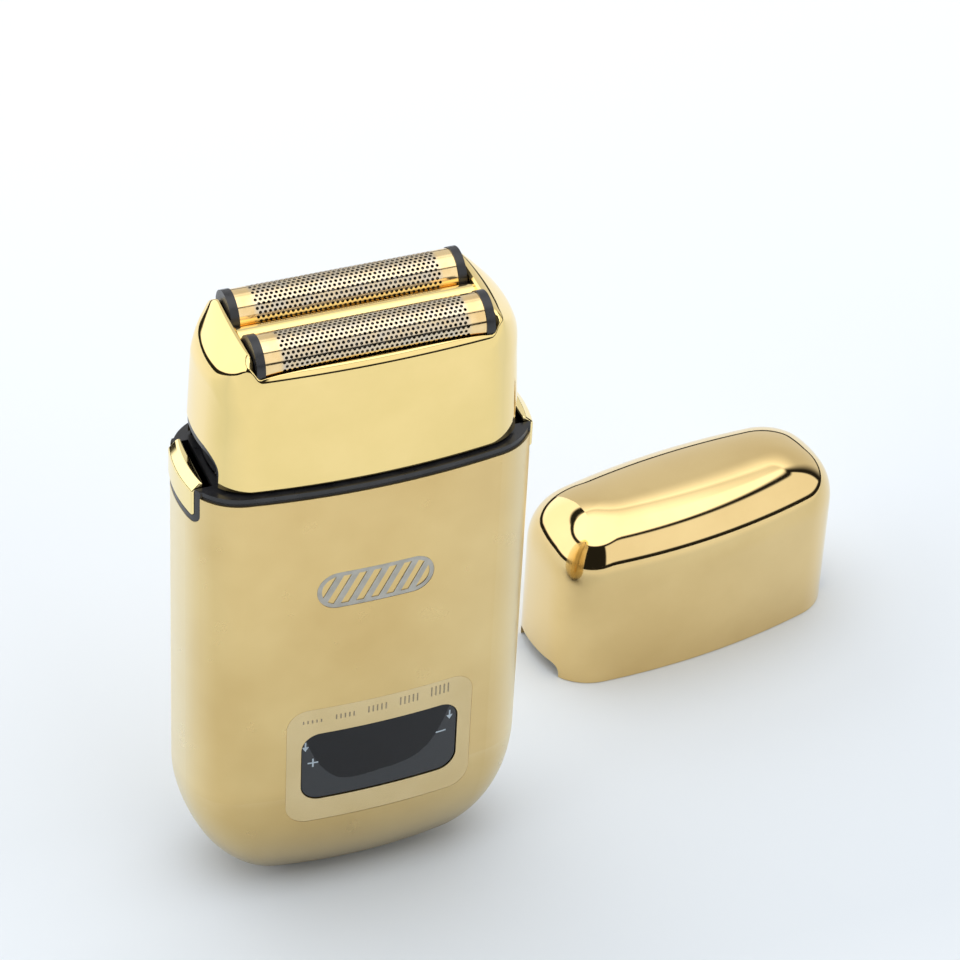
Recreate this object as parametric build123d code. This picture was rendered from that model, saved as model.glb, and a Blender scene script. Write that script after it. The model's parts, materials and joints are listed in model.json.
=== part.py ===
from build123d import *
import math
import os

# Foil shaver, in millimetres. X runs across the handle, -Y is the front with the display, +Z is up.
# The origin is the centre of the small flat foot that the handle stands on.

# Handle outline seen from above: a flat front arc, a tight corner arc and an end arc, mirrored four ways
HALF_W = 31.0
HALF_D = 14.0
FRONT_R = 140.0
END_R = 27.0
CORNER_R = 9.8

# Housing
HOUSING_TOP = 91.2
WALL = 1.6
BOTTOM_RISE_X = 25.0
BOTTOM_RUN_X = 25.0
BOTTOM_RISE_Y = 18.0
BOTTOM_RUN_Y = 12.8
FOOT_SINK = 0.7
LOFT_STEPS = (0.0, 0.02, 0.07, 0.15, 0.27, 0.42, 0.6, 0.8, 1.0)

# Front panel
PANEL_X = 1.9
WINDOW_Z = 30.8
WINDOW_W = 29.2
WINDOW_H = 15.4
WINDOW_CORNER = 3.5
SWITCH_X = 10.5
PIVOT_Y = -11.4
PIVOT_R = 0.65
PIVOT_NEAR = 6.0
PIVOT_FAR = 7.4
FILM_W = 34.6
FILM_H = 26.2
FILM_Z = 31.2
FILM_CORNER = 4.0
FILM_DEPTH = 0.15
EMBLEM_Z = 70.5
EMBLEM_W = 21.0
EMBLEM_H = 7.6

# Emblem stripes
STRIPE_PITCH = 2.7
STRIPE_W = 1.15
STRIPE_LEAN = 28.0

# Collar and deck details
FRAME_CORNER = 1.9
FRAME_FROM_X = 25.9
DECK_HOLE_R = 7.0
DECK_SCREW_HOLE_R = 1.15
DECK_NOTCH_X = 24.4
SPRING_SLOT_X = 25.0
SPRING_SLOT_HALF = 3.5
SPRING_WALL_HALF = 2.7
SPRING_WALL_LOW = 86.3
DECK_SCREW_HEAD_R = 1.9
DECK_SCREW_R = 1.0
DECK_SCREW_LENGTH = 8.0
RECESS_HALF = 0.2

# Boards and what they carry
TAB_HALF_X = 2.5
TAB_HALF_Y = 4.0
TAB_T = 0.25
BOARD_HALF_X = 17.0
BOARD_LOW = 16.0
BOARD_HIGH = 49.0
DISPLAY_HALF_X = 6.5
DISPLAY_HALF_Z = 5.5
DISPLAY_T = 1.6
SWITCH_HALF = 2.0
SWITCH_T = 1.2
PLUNGER_R = 0.9
PLUNGER_H = 0.3

# Charging socket in the foot
PORT_W = 9.4
PORT_D = 3.7
PORT_CORNER = 1.8
SOCKET_W = 8.9
SOCKET_D = 3.2
SOCKET_CORNER = 1.55
SOCKET_LOW = 1.1
SOCKET_H = 7.3
SOCKET_WALL = 0.3
SOCKET_BACK = 0.8
TONGUE_HALF_X = 3.3
TONGUE_HALF_Y = 0.35
TONGUE_LOW = 2.2
TONGUE_HIGH = 8.0
CHARGE_BOARD_X = 10.0
CHARGE_BOARD_Y = 5.0
CHARGE_BOARD_LOW = 8.4
CHARGE_BOARD_HIGH = 9.4

# Rear cover
HOOK_X = 15.0
HOOK_HALF_X = 3.0
HOOK_HALF_Z = 1.0
HOOK_DEPTH = 2.2
HOOK_FROM_EDGE = 8.0
REAR_COVER_W = 40.0
REAR_COVER_LOW = 21.0
REAR_COVER_HIGH = 83.0
REAR_COVER_CORNER = 9.0
SEAM = 0.12

# Collar, gasket, deck and button frames
GASKET = 0.4
COLLAR_TOP = 92.5
COLLAR_INSET = 0.35
COLLAR_INNER_INSET = 5.2
COLLAR_LIP_INSET = 3.8
COLLAR_LIP_TOP = 94.6
BRIDGE_STRIP_X = 26.8
FRAME_HALF_Y = 7.6
FRAME_BOTTOM = 85.5
FRAME_BAR = 1.1
DECK_LOW = 88.4
SCREW_X = 19.0
SCREW_Y = 5.2
SPRING_WALL_X = 20.0
SPRING_WALL_T = 0.8

# Release buttons
BUTTON_HALF_Y = 6.3
BUTTON_LOW = 86.9
BUTTON_TOP = 93.4
BUTTON_PROUD = 0.15
BUTTON_INNER_X = 28.3
STEM_INNER_X = 24.6
STEM_HALF_Y = 3.2
STEM_LOW = 87.4
STEM_HIGH = 90.6
PAD_T = 0.8
PAD_TOP = 92.8
RELEASE_SPRING_X = 20.9
RELEASE_SPRING_Z = 89.0
RELEASE_SPRING_LENGTH = 3.9
RELEASE_SPRING_R = 1.1
RELEASE_SPRING_WIRE = 0.3
POCKET_R = 1.45

# Head
HEAD_LOW = 93.1
HEAD_TOP = 119.6
HEAD_INSET = 1.3
HEAD_TOP_HALF_D = 12.45
HEAD_TOP_FRONT_R = 240.0
HEAD_FORM_LOW = 88.0
HEAD_WALL = 1.0
SHOULDER_R_X = 5.5
SHOULDER_HALF_W = 27.4
SHOULDER_LOW = 113.0
HEAD_FOOT_HALF_W = 28.65
HEAD_TOP_HALF_W = 27.0
SHOULDER_R_Y = 6.0
LIP_Z = 116.7
LIP_HALF_X = 20.6
NOTCH_HALF_Y = 8.0
NOTCH_TOP = 99.7
NOTCH_CORNER = 4.0
NOTCH_BORDER = 1.1
NOTCH_FACE_INSET = 2.98
NOTCH_CUT_INSET = 4.5
RECESS_INSET = 5.2
RECESS_WALL = 0.9
LINER_LOW = 94.8
LINER_TOP = 109.0
LINER_HALF_W = 27.2
LINER_GAP = 0.04
LINER_T = 1.0
LINER_INNER_X = 18.6

# Foil cassettes and cutters
FOIL_Y = 6.5
FOIL_Z = 117.0
FOIL_R = 4.05
FOIL_T = 0.15
FOIL_HALF = 19.15
FOIL_LEG_LOW = 112.6
END_CAP_T = 1.5
END_CAP_PROUD = 0.18
CASSETTE_LOW = 110.6
RAIL_INNER = 3.92
OPENING_GAP = 0.15
CUTTER_GAP = 0.12
CUTTER_HALF = 16.8
CUTTER_T = 1.1
BLADE_PITCH = 1.2
BLADE_SLOT = 0.75
CARRIER_LOW = 112.0
CARRIER_TOP = 116.6

# Drive
SHAFT_R = 1.0
CRANK_THROW = 1.0
CRANK_PIN_R = 1.0
CRANK_SLOT = 6.6
BRIDGE_LOW = 94.9
BRIDGE_HIGH = 97.6
POST_R = 1.5
POST_TOP = 114.4
MOTOR_R = 10.2
MOTOR_HALF_FLAT = 7.7
MOTOR_LOW = 55.0
MOTOR_HIGH = 82.0

MOTOR_FACE_SCREW_X = 6.5
MOTOR_NOSE_R = 3.0
MOTOR_NOSE_H = 1.5
MOTOR_CAP_LOW = 52.6
MOUNT_OPENING_R = 8.8
MOUNT_X = 16.5
MOUNT_Y = 7.2
MOUNT_T = 1.5
MOTOR_SCREW_HEAD_R = 1.7
MOTOR_SCREW_HEAD_H = 0.9
MOTOR_SCREW_R = 0.95
MOTOR_SCREW_LENGTH = 4.0
SHAFT_GAP = 0.06
TERMINAL_X = 5.0
TERMINAL_HALF_X = 1.2
TERMINAL_Y = 3.0
TERMINAL_T = 0.5
TERMINAL_LOW = 50.0
SHAFT_LOW = 53.0
SHAFT_HIGH = 91.6
HUB_R = 3.0
HUB_LOW = 86.6
HUB_HIGH = 92.4
CRANK_PIN_TOP = 98.4
WEIGHT_R = 5.4
WEIGHT_LOW = 87.0
WEIGHT_HIGH = 90.0

# Bridge plate and legs
BRIDGE_X = 12.0
BRIDGE_Y = 8.8
BRIDGE_BOSS_X = 6.0
BRIDGE_BOSS_Y = 3.7
BRIDGE_BOSS_H = 1.6
LEG_X = 10.5
LEG_Y = 5.4
LEG_HALF_T = 0.3
LEG_HALF_W = 1.6
CARRIER_SETBACK = 0.6
CARRIER_HALF_Y = 2.5
CARRIER_RIM_HALF_Y = 3.7
CARRIER_SPRING_R = 2.3
CARRIER_SPRING_WIRE = 0.5

# Power and electronics
CELL_R = 9.1
CELL_Y = 2.6
CELL_LOW = 15.2
CELL_HIGH = 50.0
BOARD_FRONT = -9.5
BOARD_T = 1.2

# Chassis inside the handle
CHASSIS_X = 21.0
CHASSIS_RAIL_T = 1.4
CHASSIS_FRONT = -7.9
CHASSIS_BACK = 7.5
CHASSIS_LOW = 14.0
CHASSIS_FOOT_LOW = 12.8
CHASSIS_FOOT_HIGH = 14.6
CHASSIS_FOOT_X = 22.0
CHASSIS_SPINE_T = 1.0
CHASSIS_SHELF_LOW = 50.9
CHASSIS_SHELF_HIGH = 52.1
CHASSIS_TOP_LOW = 84.2
CHASSIS_TOP_HIGH = 86.0
SCREW_POST_R = 2.1
SCREW_POST_LOW = 82.2
SCREW_PILOT_R = 1.05
SCREW_PILOT_LOW = 82.7

# Travel cap: it stands on its rim beside the handle
CAP_H = 34.7
CAP_WALL = 0.8
CAP_TOP_RISE_X = 12.0
CAP_TOP_RUN_X = 12.0
CAP_TOP_RISE_Y = 11.0
CAP_TOP_RUN_Y = 11.0
CAP_CROWN_SINK = 0.35
CAP_X = 82.0
CAP_Y = 38.0
CAP_TURN = 8.0
CAP_NOTCH_HALF = 7.2
CAP_NOTCH_H = 3.0


def oval(half_w, half_d, front_r, end_r, corner_r):
    """The closed outline of eight arcs, centred on the origin."""
    front_c = Vector(0, front_r - half_d)
    end_c = Vector(half_w - end_r, 0)
    gap = (end_c - front_c).length
    from_front = front_r - corner_r
    from_end = end_r - corner_r
    along = (from_front**2 - from_end**2 + gap**2) / (2 * gap)
    aside = math.sqrt(from_front**2 - along**2)
    toward = (end_c - front_c).normalized()
    corner_c = front_c + toward * along + Vector(-toward.Y, toward.X) * aside
    front_dir = (corner_c - front_c).normalized()
    end_dir = (corner_c - end_c).normalized()
    join_front = front_c + front_dir * front_r
    join_end = end_c + end_dir * end_r
    corner_mid = corner_c + (front_dir + end_dir).normalized() * corner_r

    def flip(p, sx, sy):
        return (p.X * sx, p.Y * sy)

    edges = [
        ThreePointArc(flip(join_front, -1, 1), (0, -half_d), flip(join_front, 1, 1)),
        ThreePointArc(flip(join_front, 1, 1), flip(corner_mid, 1, 1), flip(join_end, 1, 1)),
        ThreePointArc(flip(join_end, 1, 1), (half_w, 0), flip(join_end, 1, -1)),
        ThreePointArc(flip(join_end, 1, -1), flip(corner_mid, 1, -1), flip(join_front, 1, -1)),
        ThreePointArc(flip(join_front, 1, -1), (0, half_d), flip(join_front, -1, -1)),
        ThreePointArc(flip(join_front, -1, -1), flip(corner_mid, -1, -1), flip(join_end, -1, -1)),
        ThreePointArc(flip(join_end, -1, -1), (-half_w, 0), flip(join_end, -1, 1)),
        ThreePointArc(flip(join_end, -1, 1), flip(corner_mid, -1, 1), flip(join_front, -1, 1)),
    ]
    return make_face(Wire(edges))


def outline(inset):
    """The handle's outline, moved inwards by inset."""
    return oval(HALF_W - inset, HALF_D - inset, FRONT_R - inset, END_R - inset, CORNER_R - inset)


def slab(inset, low, high):
    """The outline as an upright prism from low to high."""
    return extrude(Pos(0, 0, low) * outline(inset), amount=high - low)


def ring(outer_inset, inner_inset, low, high):
    return slab(outer_inset, low, high) - slab(inner_inset, low - 1, high + 1)


def shrunk_outline(inset, half_w, half_d):
    """The outline of a level where the body is rounding in, with its arcs scaled to suit."""
    scale_x = half_w / (HALF_W - inset)
    scale_y = half_d / (HALF_D - inset)
    front_r = (FRONT_R - inset) * scale_x**2 / scale_y
    end_r = (END_R - inset) * scale_y**2 / scale_x
    corner_r = (CORNER_R - inset) * scale_y * min(1, scale_x)
    return oval(half_w, half_d, front_r, end_r, min(corner_r, 0.8 * end_r))


def round_in(half, rise, run, below_top):
    """Half width at a level below_top under the top of an elliptical rounding."""
    return half - run * (1 - math.sqrt(max(0.0, 1 - (below_top / rise) ** 2)))


def rounded_body(inset, height, rise_x, run_x, rise_y, run_y, sink):
    """An upright solid with the outline, from 0 to height, whose lower end is rounded in both views."""
    rise_x, run_x, rise_y, run_y = rise_x - inset, run_x - inset, rise_y - inset, run_y - inset
    top_x = rise_x - sink + inset
    top_y = rise_y - sink + inset
    start = inset
    straight = max(top_x, top_y)
    sections = []
    for step in LOFT_STEPS:
        z = start + (straight - start) * step
        half_w = round_in(HALF_W - inset, rise_x, run_x, max(0.0, top_x - z))
        half_d = round_in(HALF_D - inset, rise_y, run_y, max(0.0, top_y - z))
        sections.append(Pos(0, 0, z) * shrunk_outline(inset, half_w, half_d))
    return loft(sections) + slab(inset, straight, height)


def front_prism(width, height, corner, x, z, low_y=-20.0, high_y=0.0):
    """A rounded rectangle in the XZ plane, extruded along Y."""
    face = Plane(origin=(x, high_y, z), x_dir=(1, 0, 0), z_dir=(0, -1, 0))
    return extrude(face * RectangleRounded(width, height, corner), amount=high_y - low_y)


def end_prism(half_y, low, high, corner, near_x, far_x):
    """A rounded rectangle in the YZ plane, extruded along X between near_x and far_x."""
    height = high - low
    face = Plane(origin=(near_x, 0, low + height / 2), x_dir=(0, 1, 0), z_dir=(1, 0, 0))
    return extrude(face * RectangleRounded(2 * half_y, height, corner), amount=far_x - near_x)


def block(x0, x1, y0, y1, z0, z1):
    return Pos((x0 + x1) / 2, (y0 + y1) / 2, (z0 + z1) / 2) * Box(x1 - x0, y1 - y0, z1 - z0)


def rod(x, y, low, high, radius):
    return Pos(x, y, (low + high) / 2) * Cylinder(radius, high - low)


def both_ends(shape):
    """A shape and its twin on the opposite end of the handle."""
    return [shape, mirror(shape, Plane.YZ)]


def coil(x, y, low, high, radius, wire, turns):
    """A helical wire spring that stands upright."""
    path = Helix(pitch=(high - low - wire) / turns, height=high - low - wire, radius=radius)
    start = path @ 0
    section = Plane(origin=start, z_dir=path % 0) * Circle(wire / 2)
    return Pos(x, y, low + wire / 2) * sweep(section, path=path, is_frenet=True)


# ---- handle ----
def housing_and_rear_cover():
    outer = rounded_body(
        0, HOUSING_TOP, BOTTOM_RISE_X, BOTTOM_RUN_X, BOTTOM_RISE_Y, BOTTOM_RUN_Y, FOOT_SINK
    )
    inner = rounded_body(
        WALL, HOUSING_TOP + 1, BOTTOM_RISE_X, BOTTOM_RUN_X, BOTTOM_RISE_Y, BOTTOM_RUN_Y, FOOT_SINK
    )
    shell = outer - inner
    cover_h = REAR_COVER_HIGH - REAR_COVER_LOW
    cover_z = (REAR_COVER_HIGH + REAR_COVER_LOW) / 2
    cut = front_prism(REAR_COVER_W, cover_h, REAR_COVER_CORNER, 0, cover_z, 2.0, 20.0)
    gap = front_prism(
        REAR_COVER_W + 2 * SEAM, cover_h + 2 * SEAM, REAR_COVER_CORNER + SEAM, 0, cover_z, 2.0, 20.0
    )
    cover = shell & cut
    inner_face = HALF_D - WALL
    for x in (-HOOK_X, HOOK_X):
        for z in (REAR_COVER_LOW + HOOK_FROM_EDGE, REAR_COVER_HIGH - HOOK_FROM_EDGE):
            x0, x1, z0, z1 = x - HOOK_HALF_X, x + HOOK_HALF_X, z - HOOK_HALF_Z, z + HOOK_HALF_Z
            hook = block(x0, x1, inner_face - HOOK_DEPTH, inner_face + 0.2, z0, z1)
            cover += hook & slab(0.5, 0, 90)
    shell -= gap
    frame_gap = end_prism(FRAME_HALF_Y + 0.05, FRAME_BOTTOM - 0.05, HOUSING_TOP + 6, 2.0, 24.0, 34.0)
    for end in both_ends(frame_gap):
        shell -= end
    shell -= front_prism(WINDOW_W, WINDOW_H, WINDOW_CORNER, PANEL_X, WINDOW_Z)
    skin = ring(-1.0, FILM_DEPTH, 10, 80)
    shell -= front_prism(FILM_W, FILM_H, FILM_CORNER, PANEL_X, FILM_Z) & skin
    shell -= front_prism(EMBLEM_W + 0.1, EMBLEM_H + 0.1, EMBLEM_H / 2, 0, EMBLEM_Z) & skin
    shell -= extrude(RectangleRounded(PORT_W, PORT_D, PORT_CORNER), amount=WALL + 4)
    return shell, cover


def label_film():
    film = front_prism(FILM_W - 0.1, FILM_H - 0.1, FILM_CORNER, PANEL_X, FILM_Z)
    film &= ring(0.03, FILM_DEPTH, 10, 80)
    return film - front_prism(WINDOW_W, WINDOW_H, WINDOW_CORNER, PANEL_X, WINDOW_Z)


def emblem():
    """A capsule outline with slanted barber stripes, let into the front."""
    layer = ring(0.04, FILM_DEPTH, 60, 80)
    capsule = front_prism(EMBLEM_W, EMBLEM_H, EMBLEM_H / 2 - 0.01, 0, EMBLEM_Z)
    inner = front_prism(EMBLEM_W - 1.6, EMBLEM_H - 1.6, EMBLEM_H / 2 - 0.82, 0, EMBLEM_Z)
    shape = capsule - inner
    for count in range(-3, 4):
        stripe = Rot(0, STRIPE_LEAN, 0) * Box(STRIPE_W, 20, 2 * EMBLEM_H)
        stripe = Pos(count * STRIPE_PITCH, -10, EMBLEM_Z) * stripe
        shape += stripe & inner
    return shape & layer


def gaskets():
    body = ring(0.3, WALL + 1.2, HOUSING_TOP, HOUSING_TOP + GASKET)
    return body - block(-40, 40, -FRAME_HALF_Y - 0.3, FRAME_HALF_Y + 0.3, 80, 100)


def collar():
    """The black collar with a raised lip inside the head and a U frame around each release button."""
    body = ring(COLLAR_INSET, COLLAR_INNER_INSET, HOUSING_TOP + GASKET, COLLAR_TOP)
    lip = ring(COLLAR_LIP_INSET, COLLAR_LIP_INSET + 1.2, HOUSING_TOP + GASKET, COLLAR_LIP_TOP)
    body += lip - block(-40, 40, -NOTCH_HALF_Y - 0.9, NOTCH_HALF_Y + 0.9, COLLAR_TOP, 100)
    hole_half = FRAME_HALF_Y - FRAME_BAR
    for side in (-1, 1):
        x0, x1 = side * FRAME_FROM_X, side * 34
        frame = end_prism(FRAME_HALF_Y, FRAME_BOTTOM, COLLAR_TOP + 4, FRAME_CORNER, x0, x1)
        body += frame & slab(0.05, FRAME_BOTTOM, COLLAR_TOP)
        hole = end_prism(hole_half, FRAME_BOTTOM + FRAME_BAR, COLLAR_TOP + 9, 1.0, side * 20, side * 34)
        bridge = block(-BRIDGE_STRIP_X, BRIDGE_STRIP_X, -20, 20, HOUSING_TOP + GASKET, 110)
        body -= hole - bridge
    return body


def screw_spots():
    return [(x, y) for x in (-SCREW_X, SCREW_X) for y in (-SCREW_Y, SCREW_Y)]


def drive_deck():
    """The plate that closes the handle under the head, with the motor opening and four screw holes."""
    deck = slab(WALL + 0.08, DECK_LOW, HOUSING_TOP) - rod(0, 0, 80, 100, DECK_HOLE_R)
    for x, y in screw_spots():
        deck -= rod(x, y, 80, 100, DECK_SCREW_HOLE_R)
    for side in (-1, 1):
        x0, x1 = sorted((side * DECK_NOTCH_X, side * 40))
        deck -= block(x0, x1, -FRAME_HALF_Y - 0.3, FRAME_HALF_Y + 0.3, 80, 100)
        x0, x1 = sorted((side * (SPRING_WALL_X + SPRING_WALL_T), side * SPRING_SLOT_X))
        deck -= block(x0, x1, -SPRING_SLOT_HALF, SPRING_SLOT_HALF, 80, 100)
        x0, x1 = sorted((side * SPRING_WALL_X, side * (SPRING_WALL_X + SPRING_WALL_T)))
        deck += block(x0, x1, -SPRING_WALL_HALF, SPRING_WALL_HALF, SPRING_WALL_LOW, DECK_LOW + 0.5)
    return deck


def screw(x, y, head_z, head_r, shank_r, length, head_h=1.2):
    """A pan-head screw with a cross recess, pointing down."""
    body = rod(x, y, head_z, head_z + head_h, head_r) + rod(x, y, head_z - length, head_z, shank_r)
    slot = head_z + head_h - 0.5
    reach = 0.75 * head_r
    body -= block(x - reach, x + reach, y - RECESS_HALF, y + RECESS_HALF, slot, slot + 1)
    body -= block(x - RECESS_HALF, x + RECESS_HALF, y - reach, y + reach, slot, slot + 1)
    return body


def deck_screws():
    head_r, shank_r, length = DECK_SCREW_HEAD_R, DECK_SCREW_R, DECK_SCREW_LENGTH
    return [screw(x, y, HOUSING_TOP, head_r, shank_r, length) for x, y in screw_spots()]


def chassis():
    """The carrier inside the handle: shelves under the cell, under the motor and at the top, on rails."""
    x, front, back = CHASSIS_X, CHASSIS_FRONT, CHASSIS_BACK
    body = block(-x, x, front, front + CHASSIS_SPINE_T, CHASSIS_LOW, CHASSIS_SHELF_HIGH)
    foot_x = CHASSIS_FOOT_X
    body += block(-foot_x, foot_x, front, back, CHASSIS_FOOT_LOW, CHASSIS_FOOT_HIGH)
    body += block(-x, x, front, -front, CHASSIS_TOP_LOW, CHASSIS_TOP_HIGH)
    for side in (-1, 1):
        x0 = min(side * x, side * (x + CHASSIS_RAIL_T))
        body += block(x0, x0 + CHASSIS_RAIL_T, front, back, CHASSIS_LOW, CHASSIS_TOP_HIGH)
    for spot_x, spot_y in screw_spots():
        body += rod(spot_x, spot_y, SCREW_POST_LOW, DECK_LOW, SCREW_POST_R)
    body += block(-x, x, front, back, CHASSIS_SHELF_LOW, CHASSIS_SHELF_HIGH) - rod(0, 0, 50, 53, 7.6)
    body -= rod(0, 0, CHASSIS_TOP_LOW - 1, CHASSIS_TOP_HIGH + 2, MOUNT_OPENING_R)
    for spot_x, spot_y in screw_spots():
        body -= rod(spot_x, spot_y, SCREW_PILOT_LOW, 90, SCREW_PILOT_R)
    return body


# ---- power and electronics ----
def battery_cell():
    return rod(0, CELL_Y, CELL_LOW, CELL_HIGH, CELL_R)


def battery_tabs():
    x, y0, y1 = TAB_HALF_X, CELL_Y - TAB_HALF_Y, CELL_Y + TAB_HALF_Y
    low = block(-x, x, y0, y1, CELL_LOW - TAB_T, CELL_LOW)
    high = block(-x, x, y0, y1, CELL_HIGH, CELL_HIGH + TAB_T)
    return [low, high]


def main_board():
    x = BOARD_HALF_X
    return block(-x, x, BOARD_FRONT, BOARD_FRONT + BOARD_T, BOARD_LOW, BOARD_HIGH)


def display_module():
    x0, x1 = PANEL_X - DISPLAY_HALF_X, PANEL_X + DISPLAY_HALF_X
    z0, z1 = WINDOW_Z - DISPLAY_HALF_Z, WINDOW_Z + DISPLAY_HALF_Z
    return block(x0, x1, BOARD_FRONT - DISPLAY_T, BOARD_FRONT, z0, z1)


def board_chips():
    chips = [block(-3, 3, BOARD_FRONT - 1.1, BOARD_FRONT, 42, 47)]
    chips.append(block(-13, -9, BOARD_FRONT - 1.0, BOARD_FRONT, 42.5, 46.5))
    chips.append(block(8.5, 14.5, BOARD_FRONT - 1.4, BOARD_FRONT, 17.5, 20.5))
    return chips


def tact_switches():
    switches = []
    for side in (-1, 1):
        x = PANEL_X + side * SWITCH_X
        z0, z1 = WINDOW_Z - SWITCH_HALF, WINDOW_Z + SWITCH_HALF
        body = block(x - SWITCH_HALF, x + SWITCH_HALF, BOARD_FRONT - SWITCH_T, BOARD_FRONT, z0, z1)
        plunger_y = BOARD_FRONT - SWITCH_T - PLUNGER_H / 2
        plunger = Pos(x, plunger_y, WINDOW_Z) * Rot(90, 0, 0) * Cylinder(PLUNGER_R, PLUNGER_H)
        switches.append(body + plunger)
    return switches


def charge_board():
    x, y = CHARGE_BOARD_X, CHARGE_BOARD_Y
    return block(-x, x, -y, y, CHARGE_BOARD_LOW, CHARGE_BOARD_HIGH)


def usb_socket():
    """The metal shell of the charging socket, open downwards, with its tongue."""
    outside = RectangleRounded(SOCKET_W, SOCKET_D, SOCKET_CORNER)
    inside_w, inside_d = SOCKET_W - 2 * SOCKET_WALL, SOCKET_D - 2 * SOCKET_WALL
    inside = RectangleRounded(inside_w, inside_d, SOCKET_CORNER - SOCKET_WALL)
    tube = Pos(0, 0, SOCKET_LOW) * extrude(outside, amount=SOCKET_H)
    tube -= Pos(0, 0, SOCKET_LOW - 0.1) * extrude(inside, amount=SOCKET_H - SOCKET_BACK - 0.1)
    tongue = block(-TONGUE_HALF_X, TONGUE_HALF_X, -TONGUE_HALF_Y, TONGUE_HALF_Y, TONGUE_LOW, TONGUE_HIGH)
    return tube + tongue


# ---- motor ----
def flat_sided(radius, low, high):
    return rod(0, 0, low, high, radius) & block(-20, 20, -MOTOR_HALF_FLAT, MOTOR_HALF_FLAT, low, high)


def motor_can():
    can = flat_sided(MOTOR_R, MOTOR_LOW, MOTOR_HIGH)
    can += rod(0, 0, MOTOR_HIGH, MOTOR_HIGH + MOTOR_NOSE_H, MOTOR_NOSE_R)
    can -= rod(0, 0, MOTOR_LOW - 1, MOTOR_HIGH + 3, SHAFT_R + SHAFT_GAP)
    for x in (-MOTOR_FACE_SCREW_X, MOTOR_FACE_SCREW_X):
        can -= rod(x, 0, MOTOR_HIGH - 3.2, MOTOR_HIGH + 1, 1.0)
    return can


def motor_end_cap():
    cap = flat_sided(MOTOR_R - 0.4, MOTOR_CAP_LOW, MOTOR_LOW)
    return cap - rod(0, 0, MOTOR_CAP_LOW - 1, MOTOR_LOW + 1, SHAFT_R + SHAFT_GAP)


def motor_terminals():
    half, y = TERMINAL_HALF_X, TERMINAL_Y
    low, high = TERMINAL_LOW, MOTOR_CAP_LOW
    return [block(x - half, x + half, y, y + TERMINAL_T, low, high) for x in (-TERMINAL_X, TERMINAL_X)]


def motor_mount():
    """The bracket plate between the motor's face and the chassis."""
    x, y = MOUNT_X, MOUNT_Y
    plate = block(-x, x, -y, y, MOTOR_HIGH, MOTOR_HIGH + MOUNT_T)
    plate += block(-x, MOUNT_T - x, -y, y, MOTOR_HIGH, CHASSIS_TOP_LOW)
    plate += block(x - MOUNT_T, x, -y, y, MOTOR_HIGH, CHASSIS_TOP_LOW)
    plate -= rod(0, 0, 80, 86, 3.05)
    for x in (-MOTOR_FACE_SCREW_X, MOTOR_FACE_SCREW_X):
        plate -= rod(x, 0, 80, 86, 1.1)
    for spot_x, spot_y in screw_spots():
        plate -= rod(spot_x, spot_y, 80, 86, SCREW_POST_R + 0.3)
    return plate


def motor_screws():
    screws = []
    for x in (-MOTOR_FACE_SCREW_X, MOTOR_FACE_SCREW_X):
        sizes = (MOTOR_SCREW_HEAD_R, MOTOR_SCREW_R, MOTOR_SCREW_LENGTH, MOTOR_SCREW_HEAD_H)
        screws.append(screw(x, 0, MOTOR_HIGH + MOUNT_T, *sizes))
    return screws


def motor_shaft():
    return rod(0, 0, SHAFT_LOW, SHAFT_HIGH, SHAFT_R)


def eccentric_cam():
    """The hub on the motor shaft, its counterweight and the crank pin that drives the bridge."""
    hub = rod(0, 0, HUB_LOW, HUB_HIGH, HUB_R)
    hub += rod(0, CRANK_THROW, HUB_HIGH, CRANK_PIN_TOP, CRANK_PIN_R)
    weight = rod(0, 0, WEIGHT_LOW, WEIGHT_HIGH, WEIGHT_R) & block(-6, 6, -6, -0.2, 86, 91)
    return hub + weight - rod(0, 0, HUB_LOW - 1, SHAFT_HIGH, SHAFT_R)


# ---- oscillating bridge and cutters ----
def drive_bridge():
    """The white plate that the crank pin swings from side to side, with a post for each cutter."""
    plate = block(-BRIDGE_X, BRIDGE_X, -BRIDGE_Y, BRIDGE_Y, BRIDGE_LOW, BRIDGE_HIGH)
    boss_x, boss_y, boss_top = BRIDGE_BOSS_X, BRIDGE_BOSS_Y, BRIDGE_HIGH + BRIDGE_BOSS_H
    plate += block(-boss_x, boss_x, -boss_y, boss_y, BRIDGE_HIGH, boss_top)
    slot = CRANK_SLOT / 2
    plate -= block(-slot, slot, -slot, slot, BRIDGE_LOW - 1, BRIDGE_HIGH + 1.0)
    for y in (-FOIL_Y, FOIL_Y):
        plate += rod(0, y, BRIDGE_HIGH, POST_TOP, POST_R)
    return plate


def flexure_legs():
    """Four springy legs that carry the bridge on the deck."""
    legs = []
    for x in (-LEG_X, LEG_X):
        for y in (-LEG_Y, LEG_Y):
            y0, y1 = y - LEG_HALF_W, y + LEG_HALF_W
            legs.append(block(x - LEG_HALF_T, x + LEG_HALF_T, y0, y1, HOUSING_TOP, BRIDGE_LOW))
    return legs


def half_tube(outer_r, inner_r, half_len, y):
    tube = Pos(0, y, FOIL_Z) * Rot(0, 90, 0) * Cylinder(outer_r, 2 * half_len)
    tube -= Pos(0, y, FOIL_Z) * Rot(0, 90, 0) * Cylinder(inner_r, 2 * half_len + 2)
    return tube & block(-40, 40, y - 10, y + 10, FOIL_Z, FOIL_Z + 10)


def inner_cutter(y):
    """The slotted steel cutter: an arch cut into thin blades above a solid rim."""
    outer_r = FOIL_R - FOIL_T - CUTTER_GAP
    arch = half_tube(outer_r, outer_r - CUTTER_T, CUTTER_HALF, y)
    count = int(2 * CUTTER_HALF / BLADE_PITCH)
    for index in range(count):
        x = (index - (count - 1) / 2) * BLADE_PITCH
        slot = (x - BLADE_SLOT / 2, x + BLADE_SLOT / 2)
        arch -= block(slot[0], slot[1], y - 5, y + 5, FOIL_Z + 0.9, FOIL_Z + 6)
    return arch


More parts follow.
